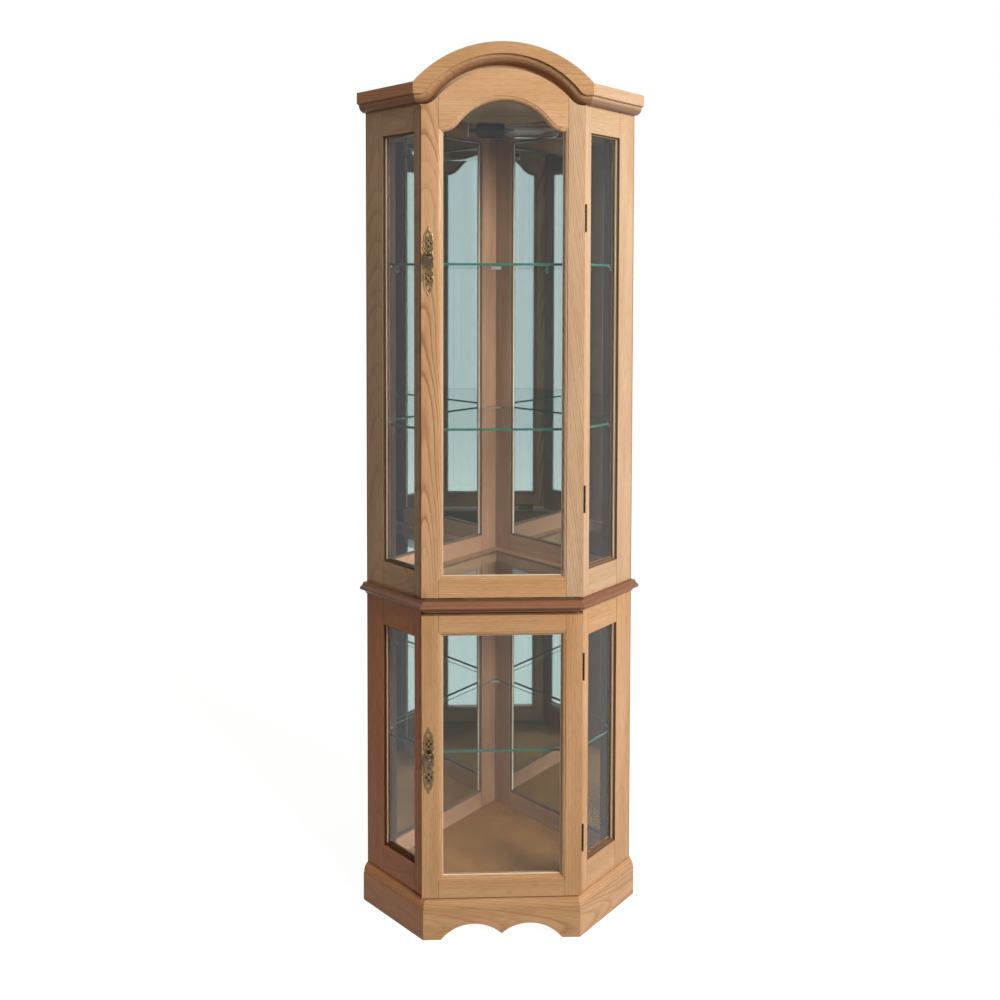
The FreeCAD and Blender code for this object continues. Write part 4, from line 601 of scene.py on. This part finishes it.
def oval(width: float, height: float, steps: int = 24) -> list[tuple[float, float]]:
    """Returns points round an oval, from half its width and half its height."""
    turns = (i * math.pi * 2 / steps for i in range(steps))
    return [(width * math.cos(turn), height * math.sin(turn)) for turn in turns]


def eased(points: Sequence[tuple[float, float]], steps: int = 5) -> list[tuple[float, float]]:
    """Runs a smooth curve through the points of a turned profile.

    Args:
        points: Radius and place along the axis.
        steps: How many points each stretch gets.

    Returns:
        The finer profile, ends kept.
    """
    ends = [points[0], *points, points[-1]]
    fine: list[tuple[float, float]] = []
    for p0, p1, p2, p3 in zip(ends, ends[1:], ends[2:], ends[3:]):
        for step in range(steps):
            t = step / steps
            fine.append(tuple(
                0.5 * (2 * b + (c - a) * t + (2 * a - 5 * b + 4 * c - d) * t * t + (3 * b - a - 3 * c + d) * t**3)
                for a, b, c, d in zip(p0, p1, p2, p3)
            ))
    fine.append(points[-1])
    return [(max(radius, 0.0), along) for radius, along in fine]


@dataclass
class Workpiece:
    """A mesh that grows by turning, wire and sheet work. Its shapes are given in millimetres."""

    name: str
    mesh: bmesh.types.BMesh = field(default_factory=bmesh.new)

    def turn(self, profile: Sequence[tuple[float, float]], place: Matrix, steps: int = 32) -> None:
        """Adds a turned shape.

        Args:
            profile: Radius and height of each point, from one end to the other.
            place: Where the shape's own z axis and origin go, in millimetres.
            steps: Facets round the axis.
        """
        shape = bmesh.new()
        points = [shape.verts.new((radius, 0, along)) for radius, along in profile]
        edges = [shape.edges.new(pair) for pair in zip(points, points[1:])]
        bmesh.ops.spin(
            shape, geom=[*points, *edges], cent=(0, 0, 0), axis=(0, 0, 1), angle=2 * math.pi, steps=steps
        )
        bmesh.ops.remove_doubles(shape, verts=shape.verts, dist=1e-4)
        bmesh.ops.recalc_face_normals(shape, faces=shape.faces)
        self.take(shape, place)

    def wire(self, points: Sequence[Vector], radius: float, closed: bool = False, smooth: bool = False) -> None:
        """Adds a round wire.

        Args:
            points: Its middle line, in millimetres.
            radius: Half its thickness.
            closed: Whether it runs back to its start.
            smooth: Whether it bends evenly between the points.
        """
        curve = bpy.data.curves.new(self.name, "CURVE")
        curve.dimensions, curve.bevel_depth, curve.bevel_resolution, curve.use_fill_caps = "3D", radius, 2, True
        spline = curve.splines.new("NURBS" if smooth else "POLY")
        spline.points.add(len(points) - 1)
        for point, place in zip(spline.points, points):
            point.co = (*place, 1)
        spline.use_cyclic_u = closed
        if smooth:
            spline.order_u, spline.use_endpoint_u, spline.resolution_u = 3, not closed, 4
        self.take_curve(curve, Matrix.Identity(4))

    def sheet(self, outlines: Sequence[Sequence[Vector]], thickness: float, edge: float, place: Matrix) -> None:
        """Adds a flat plate with rounded edges.

        Args:
            outlines: The plate's outline, then its holes, in its own plane.
            thickness: Of the plate, towards the front from the plane.
            edge: Radius of its rounded edges.
            place: Where the plane goes, in millimetres.
        """
        curve = bpy.data.curves.new(self.name, "CURVE")
        curve.dimensions, curve.fill_mode = "2D", "BOTH"
        curve.extrude, curve.bevel_depth, curve.bevel_resolution = thickness / 2 - edge, edge, 2
        curve.offset = -edge
        for outline in outlines:
            spline = curve.splines.new("POLY")
            spline.points.add(len(outline) - 1)
            for point, (across, up) in zip(spline.points, outline):
                point.co = (across, up, 0, 1)
            spline.use_cyclic_u = True
        self.take_curve(curve, place @ Matrix.Translation((0, 0, thickness / 2)))

    def line(
        self,
        corners: Sequence[tuple[float, float]],
        depth: tuple[float, float],
        place: Matrix,
        thickness: float = 0.9,
        closed: bool = True,
    ) -> None:
        """Lines an opening with a thin strip, mitred at its corners, with its inner arrises rounded.

        Args:
            corners: The opening's corners, counter-clockwise, across and up.
            depth: Where the strip starts and ends, through the wall.
            place: Where the opening's own axes go: x across, y through and z up.
            thickness: Of the strip, from the opening's edge inwards.
            closed: Whether it runs all the way round.
        """
        front, back = depth
        soft = thickness / 3
        section = [(0, front), (thickness - soft, front), (thickness, front + soft), (thickness, back), (0, back)]
        points = [Vector(corner) for corner in corners]
        shape = bmesh.new()
        rows = []
        for number, point in enumerate(points):
            before, after = point - points[number - 1], points[(number + 1) % len(points)] - point
            if not closed:
                before = after if number == 0 else before
                after = before if number == len(points) - 1 else after
            sides = [Vector((-way.y, way.x)).normalized() for way in (before, after)]
            mitre = sum(sides, Vector((0, 0))) / (1 + sides[0].dot(sides[1]))
            spots = ((point + mitre * inset, along) for inset, along in section)
            rows.append([shape.verts.new((spot.x, along, spot.y)) for spot, along in spots])
        for number, row in enumerate(rows if closed else rows[:-1]):
            ahead = rows[(number + 1) % len(rows)]
            for i, vertex in enumerate(row):
                shape.faces.new((vertex, row[i - 1], ahead[i - 1], ahead[i]))
        if not closed:
            shape.faces.new(rows[0])
            shape.faces.new(rows[-1])
        bmesh.ops.recalc_face_normals(shape, faces=shape.faces)
        self.take(shape, place)

    def take_curve(self, curve: bpy.types.Curve, place: Matrix) -> None:
        """Turns a curve to a mesh and adds it at a place."""
        carrier = bpy.data.objects.new(self.name, curve)
        made = bpy.data.meshes.new_from_object(carrier)
        shape = bmesh.new()
        shape.from_mesh(made)
        self.take(shape, place)
        bpy.data.objects.remove(carrier)
        bpy.data.curves.remove(curve)
        bpy.data.meshes.remove(made)

    def take(self, shape: bmesh.types.BMesh, place: Matrix) -> None:
        """Adds another mesh at a place, and frees it."""
        shape.transform(place)
        spare = bpy.data.meshes.new(self.name)
        shape.to_mesh(spare)
        self.mesh.from_mesh(spare)
        bpy.data.meshes.remove(spare)
        shape.free()

    def fit(self, body: str, finish: Finish, stands_for: Sequence[str] = ()) -> bpy.types.Object:
        """Makes the piece, dresses it and puts it on its body.

        Args:
            body: The body that it rides on.
            finish: Its surface.
            stands_for: Nodes that it replaces.

        Returns:
            The piece.
        """
        data = bpy.data.meshes.new(self.name)
        self.mesh.transform(Matrix.Scale(MM, 4))
        self.mesh.to_mesh(data)
        self.mesh.free()
        data.shade_smooth()
        data.set_sharp_from_angle(angle=SHARP)
        piece = bpy.data.objects.new(self.name, data)
        bpy.context.scene.collection.objects.link(piece)
        finish.dress(piece)
        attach(piece, body)
        if stands_for:
            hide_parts(*stands_for)
        log.info("%s: %d faces on %s", self.name, len(data.polygons), body)
        return piece


def dress_nodes(finish: Finish, *names: str) -> None:
    """Gives CAD nodes a finish."""
    for name in names:
        finish.dress(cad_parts[name])
        log.info("%s: %s", name, type(finish).__name__)


# ---------------------------------------------------------------- the case


class Side(Enum):
    """A side of the cabinet, by the sign of its x."""

    LEFT = -1
    RIGHT = 1


@dataclass
class FramedWall:
    """A frame of two stiles and two rails round a pane, in a wall at 45 degrees to the front."""

    section: str
    side: Side
    panel: str  # "side" or "back"
    pane: str  # node name of the glass or mirror in it
    board: Board
    tone: Tone = Tone.HONEY
    seat: float = 4.0  # mm, the pane's thickness, and both of its edges in the grooves
    lap: float = 3.4  # from the pane's edge to the lip's

    @property
    def node(self) -> str:
        """The frame's node."""
        return f"{self.section}_{self.side.name.lower()}_{self.panel}_frame"

    def dress(self) -> None:
        """Lays the grain up the stiles and along the rails, whose ends it finds from the pane."""
        lean = self.side.value * (45 if self.panel == "side" else -45)
        size = (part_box(self.pane)[1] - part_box(self.pane)[0]) / MM
        rail, opening = size.x * math.sqrt(2) - self.seat, size.z - self.seat
        front = PANE_DEPTH[self.panel]
        board = self.board.fitted(self.pane, lie=Lie.FRAME, wall=lean, rail=rail, pane=opening, front=front)
        if self.panel == "back":
            # The stile that stands in the dark corner beside the side frame is darkened much deeper with painted shade.
            board = replace(board, shaded_member=(1 + self.side.value) // 2)
        dress_nodes(Oak(self.tone, board), self.node)
        half, tall = rail / 2 - self.lap, opening / 2 + self.seat - self.lap
        corners = [(-half, -tall), (half, -tall), (half, tall), (-half, tall)]
        strip = Workpiece(f"{self.node}_strip")
        turn = Matrix.Rotation(math.radians(lean), 4, "Z")
        place = turn @ Matrix.Translation((board.middle, board.core, board.level))
        strip.line(corners, STRIP_SPAN[self.panel], place)
        strip.fit("carcass", VINYL)
        through = (-math.sin(math.radians(lean)), math.cos(math.radians(lean)), 0.0)
        dress_nodes(MIRROR_GLASS if self.panel == "back" else Glass(thin=through), self.pane)


@dataclass
class Carcass:
    """The fixed case: side and back frames, deck, floor, top and back boards."""

    straight: Board = Board(heart=170, rise=60, figure=0.4, sway=4)
    arched: Board = Board(heart=8, rise=70, slope=0.07, roll=5, sway=4, figure=0.35)
    # Tones by section and side, matched under one light, hold painted light and shade as well as stain: paler on the
    # right, which faces the lamp, and lifted at the upper left, in shade.
    tones: dict[tuple[str, Side], Tone] = field(default_factory=lambda: {
        ("upper", Side.LEFT): Tone.WHEAT,
        ("upper", Side.RIGHT): Tone.STRAW,
        ("lower", Side.LEFT): Tone.COPPER,
        ("lower", Side.RIGHT): Tone.WHEAT,
    })

    def dress(self) -> None:
        """Dresses every frame and board of the case."""
        seeds = iter(range(1, 20))
        for section in ("lower", "upper"):
            for side in Side:
                mark = f"{section}_{side.name.lower()}"
                outer = self.arched if side is Side.LEFT else self.straight
                for panel, pane, board, tone in (
                    ("side", f"{mark}_side_glass", outer, self.tones[section, side]),
                    ("back", f"{mark}_mirror", self.straight, Tone.UMBER),
                ):
                    own = replace(board, seed=float(next(seeds)))
                    FramedWall(section, side, panel, pane, own, tone).dress()
        level = Board(Lie.LEVEL, heart=120, figure=0.4, seed=21.0)
        dress_nodes(Oak(Tone.UMBER, level.fitted("deck_frame")), "deck_frame")
        # The top board and header take the paler STRAW as painted light on their shaded undersides.
        dress_nodes(Oak(Tone.STRAW, level.fitted("top_panel")), "top_panel", "header_board")
        dress_nodes(Plywood(), "floor_board")
        dress_nodes(HARDBOARD, "back_panels")
        dress_nodes(SHELF_GLASS, "deck_glass")


@dataclass
class Mouldings:
    """Cornice, waist and plinth, each mitred at the front corners."""

    cornice: Board = Board(Lie.LEVEL, heart=60, rise=90, figure=0.45, seed=31.0)
    waist: Board = Board(Lie.LEVEL, heart=90, figure=0.55, seed=33.0)
    plinth: Board = Board(Lie.LEVEL, heart=18, rise=70, slope=0.06, figure=0.5, seed=35.0)

    def dress(self) -> None:
        """Runs the grain along each length of moulding, stains the waist redder, and colours the sides and undersides
        with painted light and shade as well as stain.
        """
        # Cornice and plinth take a redder tone on the shaded left and a paler one on the lit right: painted light and
        # shade as well as stain.
        for name, board, tones, under in (
            ("cornice", self.cornice, (Tone.HONEY, Tone.AMBER, Tone.STRAW), 0.65),
            ("waist", self.waist, (Tone.RUSSET, Tone.RUSSET, Tone.RUSSET), 0.3),
            ("plinth", self.plinth, (Tone.HONEY, Tone.AMBER, Tone.WHEAT), 0.0),
        ):
            for part, wall, tone in zip(("front", "left", "right"), (0.0, -45.0, 45.0), tones):
                node = f"{name}_{part}"
                dress_nodes(Oak(tone, board.fitted(node, wall=wall, seed=board.seed + wall / 45), under), node)


# ---------------------------------------------------------------- doors and hardware


@dataclass
class Handle:
    """A pierced backplate with a drop pull. Lengths in millimetres."""

    section: str
    middle: float  # height of the plate's middle
    across: float = -150.0
    thickness: float = 1.6
    pivot: float = 16.0  # above the plate's middle
    reach: float = 10.1  # from the door's face to the pull's pin
    lattice: float = 35.0  # from the plate's middle to a lattice's
    eyelet: float = 53.0  # and to an eyelet's
    edge: tuple[tuple[float, ...], ...] = (
        (9.2, 0.0), (6.3, 18.0, 20.0, 1), (11.2, 25.5), (8.0, 30.0),
        (8.0, 45.0, 18.0, 1), (5.5, 57.5, 18.0, 1), (0.0, 69.5, 18.0, -1),
    )  # across and up, and a bend's radius and turn

    @property
    def plane(self) -> Matrix:
        """The door's face at the plate's middle: x across, y up, z out to the front."""
        turn = Matrix.Rotation(math.pi / 2, 4, "X")
        return Matrix.Translation((self.across, FRONT_FACE / MM, self.middle)) @ turn

    def outline(self) -> list[Vector]:
        """Returns the plate's outline, counter-clockwise, in its own plane."""
        right = [Vector(self.edge[0])]
        for across, up, *bend in self.edge[1:]:
            end = Vector((across, up))
            right += arc(right[-1], end, bend[0], int(bend[1])) if bend else [end]
        left = [Vector((-p.x, p.y)) for p in reversed(right[:-1])]
        top = right + left
        return top + [-p for p in top[1:-1]]

    def holes(self) -> list[list[Vector]]:
        """Returns the lozenges of both lattices and the two eyelets."""
        found = []
        for side in (1, -1):
            for across, up in ((0, 6.2), (0, -6.2), (4.6, 0), (-4.6, 0)):
                middle = Vector((across, self.lattice * side + up))
                found.append([middle + Vector(p) for p in ((0, -4.0), (3.2, 0), (0, 4.0), (-3.2, 0))])
            low, high = (Vector((0, self.eyelet * side + half)) for half in (-5, 5))
            found.append([*arc(low, high, 5.2, 1), *arc(high, low, 5.2, 1)])
        return found

    def build_plate(self) -> None:
        """Builds the cast plate: pierced sheet, raised rim and lattice, dark sheets behind the lattices as painted
        shade, beads, ears and pin.
        """
        plate = Workpiece(f"{self.section}_cast_plate")
        outline, holes = self.outline(), self.holes()
        plate.sheet([outline, *holes], self.thickness, 0.35, self.plane)
        # A thin sheet behind each lattice lies deep in the patina, so its holes show dark: painted shade.
        for side in (1, -1):
            shade_sheet = [Vector((x, self.lattice * side + y)) for x, y in oval(8.4, 10.4)]
            plate.sheet([shade_sheet], 0.5, 0.1, self.plane)
        face = self.thickness
        for path, size, out in ((outline, 0.65, 0.0), *((hole, 0.4, 0.2) for hole in holes)):
            plate.wire([self.plane @ Vector((p.x, p.y, face + out)) for p in path], size, closed=True)
        for side in (1, -1):
            for across, up, size in self.beads():
                seat = self.plane @ Matrix.Translation((across, up * side, face * 0.6))
                plate.turn(eased([(0, 1.3 * size), (0.8 * size, 0.9 * size), (size, 0), (size, -0.5)], 3), seat, 12)
        for shift in (-4.1, 4.1):
            arm = [Vector((shift, self.pivot, up)) for up in (face - 0.4, face + 3, self.reach)]
            plate.wire([self.plane @ p for p in arm], 1.0)
            end = self.plane @ Matrix.Translation((shift, self.pivot, self.reach))
            knob = eased([(0, -1.2), (2.3, -1.0), (2.8, 0), (2.3, 1.0), (0, 1.2)], 3)
            plate.turn(knob, end @ Matrix.Rotation(math.pi / 2, 4, "Y"), 20)
        pin = [self.plane @ Vector((shift, self.pivot, self.reach)) for shift in (-5.0, 5.0)]
        plate.wire(pin, 1.2)
        plate.fit(f"{self.section}_door", HANDLE_BRASS, [f"{self.section}_handle_plate"])

    def beads(self) -> list[tuple[float, float, float]]:
        """Returns place across and up, and radius, of the cast beads on one half of the plate."""
        rows = [(0.0, 35.0, 1.5), (0.0, 45.6, 1.2), (0.0, 24.2, 1.3), (0.0, 62.0, 1.1)]
        pairs = [(9.3, 27.6, 1.6), (8.9, 34.0, 1.3), (9.3, 40.0, 1.3)]
        pairs += [(7.6, 47.2, 1.4), (6.2, 54.5, 1.3), (7.2, 15.0, 1.2)]
        return rows + [(across * side, up, size) for across, up, size in pairs for side in (1, -1)]

    def build_drop(self) -> None:
        """Builds the turned drop with its eye."""
        drop = Workpiece(f"{self.section}_cast_drop")
        hang = Matrix.Translation((self.across, FRONT_FACE / MM - self.reach, self.middle + self.pivot))
        profile = [
            (0.0, -31.0), (1.8, -30.5), (2.6, -28.8), (2.1, -26.8), (2.5, -25.0), (3.4, -21.5), (5.3, -17.0),
            (7.4, -12.5), (8.0, -9.5), (7.2, -6.8), (4.4, -4.8), (3.0, -3.2), (2.6, -1.3),
        ]
        drop.turn(eased(profile), hang, 36)
        for girth, up, size in ((7.7, -8.6, 0.5), (2.6, -25.6, 0.45)):
            ring = [Vector((x, y, up)) for x, y in oval(girth, girth)]
            drop.wire([hang @ p for p in ring], size, closed=True)
        side = hang @ Matrix.Rotation(math.pi / 2, 4, "Y")
        drop.turn([(1.3, -2.8), (2.9, -2.8), (3.2, -2.4), (3.2, 2.4), (2.9, 2.8), (1.3, 2.8), (1.3, -2.8)], side, 28)
        drop.fit(f"{self.section}_pull", DROP_BRASS, [f"{self.section}_handle_pull"])

    def build(self) -> None:
        """Builds the plate and the drop."""
        self.build_plate()
        self.build_drop()


@dataclass
class Door:
    """A glazed door: two stiles, two rails, pane and beads, with its handle."""

    section: str
    left: Board
    right: Board
    rails: Board
    tone: Tone
    pale: Tone  # paler tone of the stile that stands in the light, as painted light
    handle: Handle
    arch: float = 0.0  # mm; height of the pane's arched part
    lap: float = 8.4  # from the pane's edge to the moulding's
    strip: tuple[float, float] = (-2.6, -0.02)  # where the strip starts and ends, from the pane's face
    thick: float = 1.1  # of the strip

    def dress(self) -> None:
        """Dresses the members, each from its own board."""
        level = replace(self.rails, lie=Lie.LEVEL)
        edging = replace(self.rails, heart=160.0)
        for part, board, tone in (
            ("left_stile", self.left, self.tone),
            # The right stile takes the tone given for the stile in the light, painted light where it is paler.
            ("right_stile", self.right, self.pale),
            ("top_rail", level, self.tone),
            ("bottom_rail", replace(level, seed=level.seed + 7), Tone.HONEY),
            ("beads", edging, Tone.UMBER),
        ):
            node = f"{self.section}_door_{part}"
            dress_nodes(Oak(tone, board.fitted(node)), node)
        dress_nodes(DOOR_GLASS, f"{self.section}_door_glass")
        low, high = (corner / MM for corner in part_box(f"{self.section}_door_glass"))
        half = high.x - self.lap
        top = high.z - (self.arch or self.lap)
        corners = [(-half, top), (-half, low.z + self.lap), (half, low.z + self.lap), (half, top)]
        strip = Workpiece(f"{self.section}_door_strip_liner")
        strip.line(corners, self.strip, Matrix.Translation((0, low.y, 0)), self.thick, closed=not self.arch)
        strip.fit(f"{self.section}_door", VINYL)
        dress_nodes(BROWNED_BRASS, f"{self.section}_door_hinge_leaves")
        dress_nodes(ZINC, f"{self.section}_door_strike")
        self.handle.build()


@dataclass
class Lamp:
    """A tubular bulb in a phenolic holder, on an angle under the top board. Lengths in millimetres."""

    axis: Vector = field(default_factory=lambda: Vector((10.0, -1.45, 1684.0)))  # the holder's mouth
    length: float = 122.0
    radius: float = 16.0
    wall: float = 0.9

    @property
    def place(self) -> Matrix:
        """The bulb's own z axis laid along x, from the holder's mouth."""
        return Matrix.Translation(self.axis) @ Matrix.Rotation(math.pi / 2, 4, "Y")

    def build(self) -> None:
        """Builds the bulb and dresses the holder and its angle."""
        tip, full = self.length, self.radius
        outer = [(8.5, -4.0), (9.0, 3.0), (12.5, 10.0), (full, 19.0), (full, 40.0), (full, tip - 38)]
        dome = [(full * math.cos(a), tip - full + full * math.sin(a)) for a in (i * math.pi / 16 for i in range(9))]
        skin = eased(outer, 4) + dome
        inner = [(max(r - self.wall, 0.0), z if r > 0.1 else z - self.wall) for r, z in reversed(skin)]
        shell = Workpiece("bulb_shell")
        shell.turn([*skin, *inner, skin[0]], self.place, 48)
        shell.fit("carcass", BULB_GLASS, ["bulb"])
        inside = Workpiece("bulb_filament")
        inside.turn(eased([(5.5, 0.0), (3.4, 8.0), (2.2, 16.0), (2.6, 20.0), (0.0, 22.0)], 4), self.place, 20)
        for side in (-1, 1):
            lead = [(0.9 * side, 18), (3.4 * side, 30), (5.0 * side, 46), (4.4 * side, 88)]
            inside.wire([self.place @ Vector((across, 0, up)) for across, up in lead], 0.4, smooth=True)
        coil = [
            self.place @ Vector((4.4 * math.cos(turn), 0.9 * math.sin(7 * turn), 88 + 6 * math.sin(turn)))
            for turn in (i * math.pi / 24 for i in range(25))
        ]
        inside.wire(coil, 0.28)
        inside.fit("carcass", TUNGSTEN)
        base = Workpiece("bulb_screw_base")
        threads = [(8.2 + 0.45 * math.cos(i * math.pi / 2), -20 + i * 0.8) for i in range(24)]
        base.turn([(0, -24), (3.5, -24), (6.5, -21), *threads, (9.2, -0.8)], self.place, 32)
        base.fit("carcass", ZINC)
        dress_nodes(PHENOLIC, "lamp_socket")
        dress_nodes(ZINC, "lamp_bracket")


@dataclass
class Fittings:
    """Shelves, their clips, catches, fixed hinge leaves, and the screws of the back boards. In millimetres."""

    head: float = 3.4  # radius of a screw head
    pitch: float = 196.0  # between screws up a board
    rows: int = 9
    lowest: float = 70.0
    shares: tuple[float, float] = (0.06, 0.93)  # of the way across a board

    def build(self) -> None:
        """Dresses the fittings and drives the screws."""
        dress_nodes(SHELF_GLASS, "lower_shelf", "middle_shelf", "top_shelf")
        dress_nodes(CLIP_PLASTIC, "shelf_clips")
        dress_nodes(BROWN_PLASTIC, "magnetic_catches")
        dress_nodes(BROWNED_BRASS, "case_hinge_leaves")
        self.build_screws()

    def build_screws(self) -> None:
        """Builds pan-head screws with dished heads down both edges of each back board."""
        screws = Workpiece("back_screws")
        low, high = (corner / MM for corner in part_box("back_panels"))
        head = eased([(0.0, 0.6), (1.0, 0.6), (2.6, 1.2), (self.head, 0.3), (self.head, -0.3)], 3)
        for side in (-1, 1):
            outward = Vector((side, 1, 0)).normalized()
            corner, far = Vector((0, high.y, 0)), Vector((side * high.x, low.y + 1, 0))
            for share in self.shares:
                for row in range(self.rows):
                    spot = corner.lerp(far, share)
                    spot.z = self.lowest + row * self.pitch
                    turn = Vector((0, 0, 1)).rotation_difference(outward).to_matrix().to_4x4()
                    screws.turn(head, Matrix.Translation(spot) @ turn, 14)
        screws.fit("carcass", ZINC)


# ---------------------------------------------------------------- studio


@dataclass
class Studio:
    """Pale floor, white surround, one large soft lamp from the right and the camera."""

    azimuth: float = 41.0  # degrees from the front to the right
    elevation: float = 22.0
    distance: float = 4.0
    size: float = 1.7
    power: float = 165.0
    ambient: float = 0.17
    glow: float = 0.94  # the floor's own, to the eye

    def build(self) -> None:
        """Builds the floor, the world, the lamp and the camera."""
        self.build_floor()
        self.build_world()
        self.build_lamp()
        self.build_camera()

    def build_floor(self) -> None:
        """Lays the floor: white to the eye, with the object's soft shadow, and plain pale to the light."""
        mesh = bpy.data.meshes.new("studio_floor")
        span = 8.0
        corners = [(-span, -span, 0), (span, -span, 0), (span, span, 0), (-span, span, 0)]
        mesh.from_pydata(corners, [], [(0, 1, 2, 3)])
        floor = bpy.data.objects.new("studio_floor", mesh)
        bpy.context.scene.collection.objects.link(floor)
        made = bpy.data.materials.new("studio_floor")
        tree = emptied(made)
        plain = add_node(tree, "BsdfDiffuse", {"Color": linear("#9C9A97")})
        shown = add_node(tree, "BsdfDiffuse", {"Color": linear("#A0A0A0")})
        glow = add_node(tree, "Emission", {"Color": linear("#FFFFFF"), "Strength": self.glow})
        white = add_node(tree, "AddShader", {0: shown, 1: glow})
        surface = add_node(tree, "MixShader", {0: self.seen(tree), 1: plain, 2: white})
        add_node(tree, "OutputMaterial", {"Surface": surface})
        mesh.materials.append(made)

    def seen(self, tree: Tree) -> Node:
        """Returns 1 for rays that the eye follows, from the camera, off gloss and through glass, and 0 for light."""
        path = add_node(tree, "LightPath").outputs
        gloss = add_node(tree, "Math", {0: path["Is Camera Ray"], 1: path["Is Glossy Ray"]}, operation="MAXIMUM")
        clear = add_node(tree, "Math", {0: gloss, 1: path["Is Transmission Ray"]}, operation="MAXIMUM")
        straight = add_node(tree, "Math", {0: path["Diffuse Depth"], 1: 0.5}, operation="LESS_THAN")
        return add_node(tree, "Math", {0: clear, 1: straight}, operation="MULTIPLY")

    def build_world(self) -> None:
        """Surrounds the object with white to the eye and a weak, slightly warm light."""
        world = bpy.data.worlds.new("studio")
        bpy.context.scene.world = world
        tree = emptied(world)
        light = add_node(tree, "Background", {"Color": linear("#FFF7F0"), "Strength": self.ambient})
        white = add_node(tree, "Background", {"Color": linear("#FFFFFF"), "Strength": 1.0})
        surface = add_node(tree, "MixShader", {0: self.seen(tree), 1: light, 2: white})
        add_node(tree, "OutputWorld", {"Surface": surface})

    def build_lamp(self) -> None:
        """Sets the lamp at a level at which a surface facing it shows its own colour."""
        lamp = bpy.data.lights.new("studio_key", "AREA")
        lamp.shape, lamp.size, lamp.energy = "SQUARE", self.size, self.power
        lamp.color = linear("#FFF6EA")[:3]
        key = bpy.data.objects.new("studio_key", lamp)
        bpy.context.scene.collection.objects.link(key)
        turn, tilt = math.radians(self.azimuth), math.radians(self.elevation)
        way = Vector((math.sin(turn) * math.cos(tilt), -math.cos(turn) * math.cos(tilt), math.sin(tilt)))
        key.location = Vector((0, 0, 0.95)) + self.distance * way
        key.rotation_euler = way.to_track_quat("Z", "Y").to_euler()

    def build_camera(self) -> None:
        """Sets the camera in front, a little to the left, at eye height."""
        yaw, pitch, roll = 0.0358, -0.0378, 0.0021
        ahead = Vector((math.sin(yaw) * math.cos(pitch), math.cos(yaw) * math.cos(pitch), math.sin(pitch)))
        right = Vector((math.cos(yaw), -math.sin(yaw), 0))
        up = right.cross(ahead)
        across = math.cos(roll) * right + math.sin(roll) * up
        top = -math.sin(roll) * right + math.cos(roll) * up
        place = Matrix((across, top, -ahead)).transposed().to_4x4()
        place.translation = (-0.0846, -2.11635, 1.3521)
        data = bpy.data.cameras.new("studio_camera")
        data.sensor_width, data.lens = 36.0, 34.22
        data.shift_x, data.shift_y = 0.0049, -0.1829
        camera = bpy.data.objects.new("studio_camera", data)
        bpy.context.scene.collection.objects.link(camera)
        camera.matrix_world = place
        bpy.context.scene.camera = camera


def main() -> None:
    """Builds and dresses the cabinet, then the studio."""
    logging.basicConfig(level=logging.INFO, format="%(name)s %(message)s")
    bpy.context.scene.view_settings.view_transform = "Standard"
    Carcass().dress()
    Mouldings().dress()
    Door(
        "upper",
        left=Board(heart=14, rise=52, slope=0.05, roll=5, sway=7, figure=0.8, seed=41.0),
        right=Board(heart=140, rise=60, lean=0.16, figure=0.6, sway=3, seed=42.0),
        rails=Board(heart=90, rise=60, figure=0.4, seed=43.0),
        tone=Tone.WHEAT,
        pale=Tone.STRAW,
        handle=Handle("upper", 1392.0),
        arch=64.0,
    ).dress()
    Door(
        "lower",
        left=Board(heart=150, rise=60, figure=0.35, seed=51.0),
        right=Board(heart=130, rise=60, figure=0.4, seed=52.0),
        rails=Board(heart=90, rise=60, figure=0.35, seed=53.0),
        tone=Tone.HONEY,
        pale=Tone.HONEY,
        handle=Handle("lower", 371.0),
    ).dress()
    Lamp().build()
    Fittings().build()
    Studio().build()


if __name__ == "__main__":
    main()
